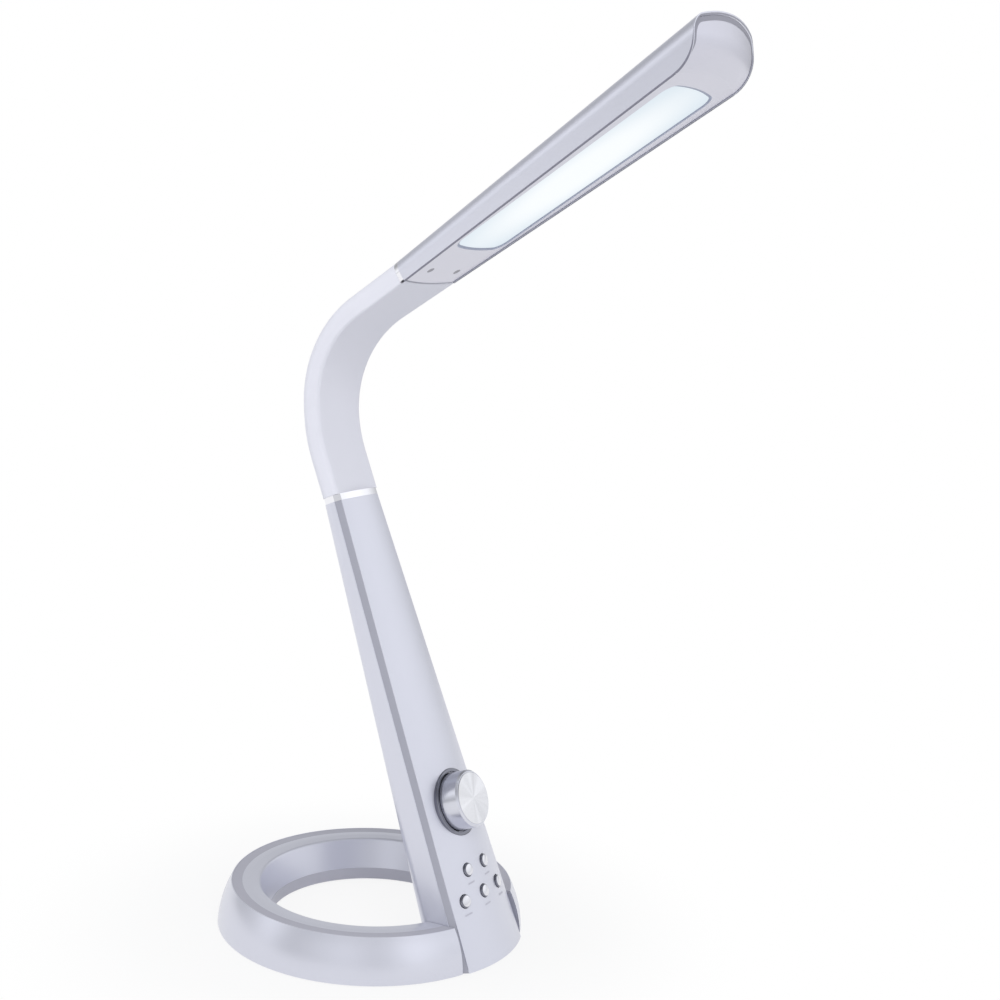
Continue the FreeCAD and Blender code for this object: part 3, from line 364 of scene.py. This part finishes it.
def sleeve_outline(s):
    """Rounded section of the sleeve as (front, side) points."""
    share = max(0.0, (s - taper_start) / (neck_length - taper_start))
    half = between(sleeve_half, share)
    front = between(sleeve_front_corner, share)
    back = between(sleeve_back_corner, share)
    deep = neck_thickness / 2
    points = corner(deep - front, half - front, front, 0.0, front_steps)
    points += corner(-deep + back, half - back, back, math.pi / 2, back_steps)
    points += corner(-deep + back, -half + back, back, math.pi, back_steps)
    points += corner(deep - front, -half + front, front, math.pi * 1.5, front_steps)
    return points


def skin(name, rows, material, closed=True, capped=False):
    """Smooth-shaded mesh through rows of points."""
    count = len(rows[0])
    faces = []
    for r in range(len(rows) - 1):
        for c in range(count if closed else count - 1):
            d = (c + 1) % count
            faces.append((r * count + c, r * count + d, (r + 1) * count + d, (r + 1) * count + c))
    if capped:
        last = (len(rows) - 1) * count
        faces.append(tuple(range(last, last + count)))
    mesh = bpy.data.meshes.new(name)
    mesh.from_pydata([p for row in rows for p in row], [], faces)
    mesh.materials.append(material)
    for face in mesh.polygons:
        face.use_smooth = True
    piece = bpy.data.objects.new(name, mesh)
    bpy.context.scene.collection.objects.link(piece)
    return piece


def sleeve_row(s):
    point, angle = neck_frame(s)
    return [point + across(angle) * f + Vector((0.0, side, 0.0)) for f, side in sleeve_outline(s)]


def span_lengths(start, end, step):
    count = max(1, math.ceil((end - start) / step))
    return [start + (end - start) * i / count for i in range(count + 1)]


def neck_spans(finish):
    """The stretch of neck about each pivot, from half way to one neighbour to half way to the other."""
    spans = []
    for k in range(len(neck_chain) - 1):
        middle = first_pivot + k * pivot_spacing
        low = 0.0 if k == 0 else middle - pivot_spacing / 2
        high = finish if k == len(neck_chain) - 2 else middle + pivot_spacing / 2
        spans.append((k, middle, low, high))
    return spans


def bend_with_neck(piece, middle):
    """Bake the stretch's place into its mesh; the points half a spacing, less a gap, each side of its pivot
    are found but not used.
    """
    margin = pivot_spacing / 2 - blend_gap
    start = neck_frame(middle - margin)[0]
    end = neck_frame(middle + margin)[0]
    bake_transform(piece)


def shade_from_rows(piece, rows, s_values, row_maker):
    """Give the open ends of a stretch the same shading as its neighbour's."""
    mesh = piece.data
    normals = []
    count = len(rows[0])
    for s in s_values:
        before = row_maker(s - shade_step)
        after = row_maker(s + shade_step)
        here = row_maker(s)
        for c in range(count):
            lengthways = after[c] - before[c]
            sideways = here[(c + 1) % count] - here[c - 1]
            normal = sideways.cross(lengthways)
            normals.append(normal.normalized())
    mesh.normals_split_custom_set_from_vertices(normals)


def make_sleeve():
    """Neck sleeve, in one stretch for each pivot."""
    finish = neck_length - collar_width
    for k, middle, low, high in neck_spans(finish):
        values = span_lengths(low, high, sleeve_step)
        rows = [sleeve_row(s) for s in values]
        piece = skin(f"neck_sleeve_{k + 1}", rows, neck_white, capped=k == len(neck_chain) - 2)
        shade_from_rows(piece, rows, values, sleeve_row)
        if k == 0:
            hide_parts("neck_sleeve")
        bend_with_neck(piece, middle)


def head_point(a, y, n):
    """Point given along the head, across it and up from its underside, in metres."""
    tip, angle = neck_frame(neck_length)
    return tip + across(angle) * (neck_thickness / 2 - n) + along(angle) * a + Vector((0.0, y, 0.0))


def make_neck_lip():
    """Sliver of the sleeve that runs on under the head, up to the curved edge of the cover."""
    rows = []
    for i in range(neck_lip_steps + 1):
        y = -neck_lip_half + 2 * neck_lip_half * i / neck_lip_steps
        edge = min(0.0, cover_edge_centre - math.sqrt(cover_edge_radius ** 2 - y ** 2))
        row = [head_point(-collar_width, y, 0.0), head_point(edge - neck_lip_gap, y, 0.0)]
        for height in neck_lip_heights:
            row.append(head_point(edge - neck_lip_fold, y, height))
        rows.append(row)
    lip = skin("neck_lip", rows, neck_white, closed=False)
    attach(lip, "head")


def lead_row(s):
    point, angle = neck_frame(s)
    ring = []
    for i in range(lead_sides):
        turn = math.tau * i / lead_sides
        side = lead_side + lead_radius * math.sin(turn)
        ring.append(point + across(angle) * (lead_radius * math.cos(turn)) + Vector((0.0, side, 0.0)))
    return ring


def make_lead():
    """Supply lead inside the neck, cut into the same stretches as the sleeve."""
    for k, middle, low, high in neck_spans(neck_length + lead_top):
        if k == 0:
            low = lead_foot
        values = span_lengths(low, high, lead_step)
        piece = skin(f"supply_lead_{k + 1}", [lead_row(s) for s in values], black)
        if k == 0:
            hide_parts("supply_lead")
        bend_with_neck(piece, middle)


make_sleeve()
make_neck_lip()
make_lead()


# Buttons, slot edges and printed marks, fitted to the column's curved front

column_length = 0.290
column_below = 0.022
front_half_foot = 0.0317
front_half_top = 0.0193
front_curve = 0.095
trim_width = 0.0032
slot_gap = 0.0003
button_places = ((0.056, -0.0095), (0.056, 0.0095), (0.040, -0.0195), (0.040, 0.0), (0.040, 0.0195))
button_radius = 0.0039
button_rise = 0.0017
button_dome = 0.0150
button_edge = 0.0010
flange_radius = 0.0047
flange_thickness = 0.0008
stem_radius = 0.0015
front_wall = 0.0022
button_sides = 48
bevel_steps = 4
dome_steps = 8
# Rows of each button cap, from the stem up, drawn in dark chrome as painted shade.
painted_shade_rows = 8
dome_tip = 0.00002
mark_drop = 0.0079
mark_half_height = 0.00045
mark_half_width = 0.0031
mark_steps = 8
mark_proud = 0.00004


def front_half(u):
    return front_half_foot + (front_half_top - front_half_foot) * u / column_length


def front_height(u, y, inset=0.0):
    """How far forward the column's curved front stands at a place."""
    low = math.sqrt(front_curve ** 2 - front_half(-column_below) ** 2)
    high = math.sqrt(front_curve ** 2 - front_half(column_length) ** 2)
    centre = low + (high - low) * (u + column_below) / (column_length + column_below)
    return math.sqrt((front_curve - inset) ** 2 - y ** 2) - centre


def turned_row(u, y, radius, height):
    """Ring of points about a button's axis; height is a function of the point's own y."""
    row = []
    for i in range(button_sides):
        turn = math.tau * i / button_sides
        side = y + radius * math.cos(turn)
        row.append(column_point(height(side), side, u + radius * math.sin(turn)))
    return row


def make_button(number, u, y):
    """Domed cap that follows the curved front, with its retaining flange and stem."""
    node = f"button_{number}"
    foot = column_point(0.0, 0.0, 0.0)
    forward = Vector(front_normal)
    low = min((v.co - foot).dot(forward) for v in nodes[node].data.vertices)
    flange_top = front_height(u, abs(y) + flange_radius, front_wall) - slot_gap
    rows = [turned_row(u, y, stem_radius, lambda side: low)]
    rows.append(turned_row(u, y, stem_radius, lambda side: flange_top - flange_thickness))
    rows.append(turned_row(u, y, flange_radius, lambda side: flange_top - flange_thickness))
    rows.append(turned_row(u, y, flange_radius, lambda side: flange_top))
    rows.append(turned_row(u, y, button_radius, lambda side: flange_top))
    flat = button_radius - button_edge
    rim = button_rise - button_dome + math.sqrt(button_dome ** 2 - flat ** 2)
    for i in range(bevel_steps + 1):
        turn = math.pi / 2 * i / bevel_steps
        radius = flat + button_edge * math.cos(turn)
        height = rim - button_edge * (1 - math.sin(turn))
        rows.append(turned_row(u, y, radius, lambda side: front_height(u, side) + height))
    for i in range(1, dome_steps + 1):
        radius = flat * (1 - i / dome_steps) + dome_tip
        height = button_rise - button_dome + math.sqrt(button_dome ** 2 - radius ** 2)
        rows.append(turned_row(u, y, radius, lambda side: front_height(u, side) + height))
    cap = skin(f"{node}_cap", rows, button_chrome, capped=True)
    # Painted shade: the stem, flange, side wall and most of the rounded edge take the dark chrome, for the
    # dark crescent round the cap.
    cap.data.materials.append(dark_chrome)
    for face in cap.data.polygons[:painted_shade_rows * button_sides]:
        face.material_index = 1
    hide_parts(node)
    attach(cap, node)


def make_mark(number, u, y):
    """Short printed bar below a button."""
    rows = []
    for edge in (-mark_half_height, mark_half_height):
        row = []
        for i in range(mark_steps + 1):
            side = y - mark_half_width + 2 * mark_half_width * i / mark_steps
            row.append(column_point(front_height(u, side) + mark_proud, side, u + edge))
        rows.append(row)
    mark = skin(f"button_mark_{number}", rows, mark_grey, closed=False)
    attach(mark, "stand")


# Ring wall, as radius against height: foot, rim and the bulge between them

ring_top = 0.0269
ring_low = 0.0008
ring_radius = 0.095
rim_radius = 0.0874
wall_bulge = 0.0016
lip_top = ring_top - 0.0021
lip_first = 0.0003
lip_depth = 0.0087
lip_rows = 16
lip_steps = 8
lip_gap_share = 0.7
lip_guess = 0.09
lip_tries = 3


def wall_radius(height):
    """Radius of the ring's bulging outer wall at a height."""
    share = (height - ring_low) / (ring_top - ring_low)
    return ring_radius + (rim_radius - ring_radius) * share + 4 * wall_bulge * share * (1 - share)


def make_slot_lip(name, side):
    """Return edge of the ring's outer wall, beside the column; its place is found step by step."""
    rows = []
    for i in range(lip_rows + 1):
        height = ring_low + (lip_top - ring_low) * i / lip_rows
        row = []
        for j in range(lip_steps + 1):
            depth = lip_first + lip_depth * j / lip_steps
            x = lip_guess
            for _ in range(lip_tries):
                u = (height - (x - column_foot_x) * math.tan(lean)) * math.cos(lean)
                y = front_half(u) + trim_width + slot_gap * lip_gap_share
                x = math.sqrt((wall_radius(height) - depth) ** 2 - y ** 2)
            row.append(Vector((x, side * y, height)))
        rows.append(row)
    lip = skin(name, rows, silver, closed=False)
    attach(lip, "stand")


# Head: seam between its shells, lower edge, rim of the tip, and edge of the lens

head_length = 0.232
head_half_neck = 0.0281
head_half_tip = 0.045
head_side_neck = 0.0062
head_side_tip = 0.0106
head_corner_neck = 0.008
head_corner_tip = 0.010
head_crown = math.radians(7.0)
tip_flat_end = 0.2035
tip_sweep_radius = 0.022
tip_sweep = math.radians(62.0)
tip_plan_radius = 0.176
tip_dip = 0.00005
tip_centre = tip_flat_end + tip_sweep_radius * math.sin(tip_sweep) - tip_plan_radius
shell_wall = 0.0014
seam_width = 0.0008
seam_sink = 0.0011
seam_edge = 0.00005
seam_lift = 0.0003
side_share = 0.2
corner_share = 0.5
proud = 0.00004
edge_up = 0.0007
edge_reach = 0.0012
edge_last = 0.3
edge_lift = 0.002
side_steps = 24
tip_steps = 40
rim_steps = 60
rim_span = (0.17, 0.26)
rim_halvings = 40
flat_tries = 6
band_first = 0.03
band_sink = 0.0005
band_gap = 0.0001
band_least = 0.0002
band_reach = 0.0022
band_run = 0.14
rim_reach = 0.0007
rim_start = 0.14
rim_run = 0.20
lens_level = 0.0013
lens_level_slack = 0.0001
lens_edge_width = 0.0014
lens_edge_low = 0.00012
lens_edge_high = 0.00002


def head_share(low, high, a):
    return low + (high - low) * a / head_length


def tip_height(a, y, sink):
    """Height of the swept underside near the tip, set back by a depth."""
    run = math.hypot(a - tip_centre, y) - (tip_flat_end - tip_centre)
    radius = tip_sweep_radius - sink
    if run <= 0:
        return sink - tip_dip
    if run < radius * math.sin(tip_sweep):
        return sink - tip_dip + radius - math.sqrt(radius ** 2 - run ** 2)
    level = sink - tip_dip + radius * (1 - math.cos(tip_sweep))
    return level + (run - radius * math.sin(tip_sweep)) * math.tan(tip_sweep)


def head_section(a, w, inset):
    """Half of the head's section: w runs from 0 at its lower edge to 1 at the middle of its crown."""
    half = head_share(head_half_neck, head_half_tip, a) - inset
    side = head_share(head_side_neck, head_side_tip, a)
    corner_radius = head_share(head_corner_neck, head_corner_tip, a) - inset
    if w < side_share:
        return half, side * w / side_share
    if w < corner_share:
        turn = math.pi / 2 + (head_crown - math.pi / 2) * (w - side_share) / (corner_share - side_share)
        return half - corner_radius + corner_radius * math.sin(turn), side + corner_radius * math.cos(turn)
    crown_radius = (half - corner_radius) / math.sin(head_crown) + corner_radius
    crown = side + corner_radius + (half - corner_radius) * math.tan(head_crown / 2)
    turn = head_crown * (1 - w) / corner_share
    return crown_radius * math.sin(turn), crown - crown_radius + crown_radius * math.cos(turn)


def rim_point(w, inset, sink):
    """Where the head's section, set in by inset, meets the swept underside, set back by sink."""
    low, high = rim_span
    for _ in range(rim_halvings):
        a = (low + high) / 2
        y, n = head_section(a, w, inset)
        if tip_height(a, y, sink) < n:
            low = a
        else:
            high = a
    y, n = head_section(a, w, inset)
    return a, y, n


def flat_end(inset):
    """Where the flat underside ends along an edge set in from the head's side."""
    a = tip_flat_end
    for _ in range(flat_tries):
        y = head_share(head_half_neck, head_half_tip, a) - inset
        a = tip_centre + math.sqrt((tip_flat_end - tip_centre) ** 2 - y ** 2)
    return a


def side_row(side, inset, sink, last=0.0):
    """Edge of a strip along the head's side, on round the tip to a share of the section."""
    row = []
    end = flat_end(inset)
    for i in range(side_steps + 1):
        a = end * i / side_steps
        y = head_share(head_half_neck, head_half_tip, a) - inset
        row.append(head_point(a, side * y, sink - tip_dip))
    first = side_share * max(0.0, sink - tip_dip) / head_side_tip + edge_lift
    for i in range(tip_steps + 1 if last else 0):
        w = first + (last - first) * i / tip_steps
        taper = (last - w) / (last - first)
        a, y, n = rim_point(w, inset * taper, sink * taper)
        row.append(head_point(a, side * y, n))
    return row


def seam_line(inset, sink, first):
    """One edge of a strip that follows the rim, from one side of the head to the other."""
    half = []
    for i in range(rim_steps + 1):
        w = first + (1.0 - first) * i / rim_steps
        half.append(rim_point(w, inset(w), sink))
    line = [head_point(a, -y, n) for a, y, n in half]
    line += [head_point(a, y, n) for a, y, n in reversed(half[:-1])]
    return line


def head_strip(name, rows, material):
    strip = skin(name, rows, material, closed=False)
    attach(strip, "head")


def make_head_seam():
    """Painted shade on the floor of the groove between the top shell and the cover."""
    outer = shell_wall + seam_edge
    inner = shell_wall + seam_width - seam_edge
    first = side_share * (seam_sink + seam_lift) / head_side_tip
    rows = [seam_line(lambda w: outer, seam_sink, first), seam_line(lambda w: inner, seam_sink, first)]
    head_strip("head_seam_tip", rows, seam_painted_shade)
    for name, side in (("head_seam_left", -1), ("head_seam_right", 1)):
        head_strip(name, [side_row(side, outer, seam_sink), side_row(side, inner, seam_sink)], seam_painted_shade)


def make_head_edge():
    """Painted shade along the shell's lower edge: a dark strip from the neck to the start of the tip's
    corners.
    """
    corners = ((-proud, edge_up), (-proud, -proud), (edge_reach, -proud))
    for name, side in (("head_edge_left", -1), ("head_edge_right", 1)):
        rows = [side_row(side, inset, sink, last=edge_last) for inset, sink in corners]
        head_strip(name, rows, edge_painted_shade)


def eased(w, start, run):
    share = min(1.0, max(0.0, (w - start) / run))
    return share * share * (3 - 2 * share)


def make_tip_band():
    """Painted shade round the tip: a dark strip on the inner part of the shell's rim, and a dark band on
    the cover just inside it; both widen towards the middle of the tip.
    """
    def rim(w):
        return shell_wall - rim_reach * eased(w, rim_start, rim_run)

    def outer(w):
        return shell_wall + band_gap

    def inner(w):
        return shell_wall + band_least + band_reach * eased(w, band_first, band_run)
    rows = [seam_line(rim, -proud, band_first), seam_line(lambda w: shell_wall, -proud, band_first)]
    head_strip("head_tip_rim", rows, rim_painted_shade)
    rows = [seam_line(outer, band_sink, band_first), seam_line(inner, band_sink, band_first)]
    head_strip("head_tip_band", rows, rim_painted_shade)


def make_lens_edge():
    """Painted shade round the lens: a thin blue-grey strip along the outline of its outer face."""
    origin = head_point(0.0, 0.0, 0.0)
    forward = head_point(1.0, 0.0, 0.0) - origin
    upward = head_point(0.0, 0.0, 1.0) - origin
    places = []
    for vertex in nodes["led_diffuser"].data.vertices:
        away = vertex.co - origin
        if abs(away.dot(upward) - lens_level) < lens_level_slack:
            places.append((round(away.dot(forward), 6), round(away.y, 6)))
    middle = (min(p[0] for p in places) + max(p[0] for p in places)) / 2
    rim = sorted(set(places), key=lambda p: math.atan2(p[1], p[0] - middle))
    outer, inner = [], []
    for i, (a, y) in enumerate(rim):
        before, after = rim[i - 1], rim[(i + 1) % len(rim)]
        run = Vector((after[0] - before[0], after[1] - before[1])).normalized()
        outer.append(head_point(a, y, lens_level - lens_edge_low))
        inward = (a - run.y * lens_edge_width, y + run.x * lens_edge_width)
        inner.append(head_point(*inward, lens_level - lens_edge_high))
    edge = skin("lens_painted_shade", [outer, inner], lens_painted_shade)
    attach(edge, "head")


for number, (u, y) in enumerate(button_places, 1):
    make_button(number, u, y)
    make_mark(number, u - mark_drop, y)
make_slot_lip("slot_lip_left", 1)
make_slot_lip("slot_lip_right", -1)
make_head_edge()
make_head_seam()
make_tip_band()
make_lens_edge()


# Camera, floor and light

camera_place = (0.50378, -0.78347, 0.40876)
camera_right = (0.87239849, 0.48561225, 0.05569205)
camera_up = (-0.11940809, 0.10124559, 0.9876695)
camera_back = (0.47398584, -0.86829147, 0.14631253)
camera_lens = 55.8
sensor_width = 36.0
floor_reach = 30.0
floor_dark = (0.86, 0.86, 0.87)
floor_light = (0.88, 0.88, 0.89)
shadow_reach = (0.10, 0.24)
shadow_fade = (0.84, 1.0)
seen_kinds = ("Is Camera Ray", "Is Glossy Ray", "Is Transmission Ray")
sky_color = (0.97, 0.98, 1.0, 1)
sky_level = 0.62
white = (1, 1, 1, 1)
# Reflected room: level against heading in degrees, times level against height
room_headings = ((-180, 0.42), (-162, 0.58), (-138, 1.18), (-119, 0.42), (-98, 0.72), (-74, 0.98),
                 (-50, 0.62), (-22, 1.36), (2, 0.96), (24, 1.06), (48, 1.14), (68, 1.04), (80, 0.70),
                 (92, 0.46), (112, 0.66), (130, 0.66), (145, 0.54), (165, 0.42), (180, 0.42))
room_heights = ((0.0, 0.80), (0.12, 0.93), (0.34, 1.10), (0.55, 0.80), (0.78, 0.50))
lamp_aim = (0.03, 0.0, 0.25)
lamp_size = 1.2


def place_camera():
    data = bpy.data.cameras.new("camera")
    data.sensor_fit = "HORIZONTAL"
    data.sensor_width = sensor_width
    data.lens = camera_lens
    camera = bpy.data.objects.new("camera", data)
    turn = Matrix((camera_right, camera_up, camera_back)).transposed().to_4x4()
    camera.matrix_world = Matrix.Translation(camera_place) @ turn
    bpy.context.scene.collection.objects.link(camera)
    bpy.context.scene.camera = camera


def any_ray(tree, paths, kinds):
    """One where the ray is of any of these kinds."""
    total = paths.outputs[kinds[0]]
    for kind in kinds[1:]:
        total = value_math(tree, "MAXIMUM", total, paths.outputs[kind])
    return total


def make_floor():
    """Pale floor that keeps the lamp's shadow near it and fades to plain white further out."""
    mesh = bpy.data.meshes.new("floor")
    corners = [(x * floor_reach, y * floor_reach, 0) for x, y in ((-1, -1), (1, -1), (1, 1), (-1, 1))]
    mesh.from_pydata(corners, [], [(0, 1, 2, 3)])
    material, tree, shader = new_material("floor_white")
    place = tree.nodes.new("ShaderNodeTexCoord").outputs["Object"]
    grain = noise(tree, place, 30.0)
    tree.links.new(tint(tree, grain, floor_dark, floor_light), shader.inputs["Base Color"])
    shader.inputs["Roughness"].default_value = 0.9
    shader.inputs["Specular IOR Level"].default_value = 0.1
    fade = map_range(tree, vector_math(tree, "LENGTH", place), shadow_reach, shadow_fade, smooth=True)
    paths = tree.nodes.new("ShaderNodeLightPath")
    seen = value_math(tree, "MULTIPLY", any_ray(tree, paths, seen_kinds), fade)
    glow = tree.nodes.new("ShaderNodeEmission")
    glow.inputs["Color"].default_value = white
    glow.inputs["Strength"].default_value = 1.0
    mix = tree.nodes.new("ShaderNodeMixShader")
    output = next(n for n in tree.nodes if n.type == "OUTPUT_MATERIAL")
    tree.links.new(seen, mix.inputs["Fac"])
    tree.links.new(shader.outputs["BSDF"], mix.inputs[1])
    tree.links.new(glow.outputs["Emission"], mix.inputs[2])
    tree.links.new(mix.outputs["Shader"], output.inputs["Surface"])
    mesh.materials.append(material)
    floor = bpy.data.objects.new("floor", mesh)
    bpy.context.scene.collection.objects.link(floor)


def ramp_node(tree, value, stops):
    """Grey level that follows a list of places and levels."""
    node = tree.nodes.new("ShaderNodeValToRGB")
    ramp = node.color_ramp
    while len(ramp.elements) < len(stops):
        ramp.elements.new(1.0)
    for element, (place, _) in zip(ramp.elements, stops):
        element.position = place
    for element, (_, level) in zip(ramp.elements, stops):
        element.color = (level, level, level, 1)
    tree.links.new(value, node.inputs["Fac"])
    return node.outputs["Color"]


def light_world():
    """Even light for matt surfaces, white for the camera, and soft boxes for reflections."""
    world = bpy.data.worlds.new("studio")
    bpy.context.scene.world = world
    world.use_nodes = True
    tree = world.node_tree
    base = next(n for n in tree.nodes if n.type == "BACKGROUND")
    base.inputs["Color"].default_value = sky_color
    base.inputs["Strength"].default_value = sky_level
    backdrop = tree.nodes.new("ShaderNodeBackground")
    backdrop.inputs["Color"].default_value = white
    backdrop.inputs["Strength"].default_value = 1.0
    room = tree.nodes.new("ShaderNodeBackground")
    room.inputs["Color"].default_value = sky_color
    split = tree.nodes.new("ShaderNodeSeparateXYZ")
    tree.links.new(tree.nodes.new("ShaderNodeTexCoord").outputs["Generated"], split.inputs["Vector"])
    turn = value_math(tree, "ARCTAN2", split.outputs["Y"], split.outputs["X"])
    around = map_range(tree, turn, (-math.pi, math.pi), (0.0, 1.0))
    boxes = ramp_node(tree, around, [((heading + 180) / 360, level) for heading, level in room_headings])
    ceiling = ramp_node(tree, split.outputs["Z"], room_heights)
    tree.links.new(value_math(tree, "MULTIPLY", boxes, ceiling), room.inputs["Strength"])
    paths = tree.nodes.new("ShaderNodeLightPath")
    mirrored = tree.nodes.new("ShaderNodeMixShader")
    tree.links.new(paths.outputs["Is Glossy Ray"], mirrored.inputs["Fac"])
    tree.links.new(base.outputs["Background"], mirrored.inputs[1])
    tree.links.new(room.outputs["Background"], mirrored.inputs[2])
    seen = tree.nodes.new("ShaderNodeMixShader")
    tree.links.new(any_ray(tree, paths, ("Is Camera Ray", "Is Transmission Ray")), seen.inputs["Fac"])
    tree.links.new(mirrored.outputs["Shader"], seen.inputs[1])
    tree.links.new(backdrop.outputs["Background"], seen.inputs[2])
    output = next(n for n in tree.nodes if n.type == "OUTPUT_WORLD")
    tree.links.new(seen.outputs["Shader"], output.inputs["Surface"])


def area_light(name, place, power):
    """Soft lamp that reflections don't show."""
    data = bpy.data.lights.new(name, "AREA")
    data.shape = "SQUARE"
    data.size = lamp_size
    data.energy = power
    lamp = bpy.data.objects.new(name, data)
    lamp.location = place
    lamp.visible_glossy = False
    lamp.rotation_euler = (Vector(lamp_aim) - Vector(place)).to_track_quat("-Z", "Y").to_euler()
    bpy.context.scene.collection.objects.link(lamp)


bpy.context.scene.view_settings.view_transform = "Standard"
place_camera()
make_floor()
light_world()
area_light("key", (1.1, -1.2, 1.5), 14.0)
area_light("fill", (-1.2, -1.1, 0.9), 6.0)
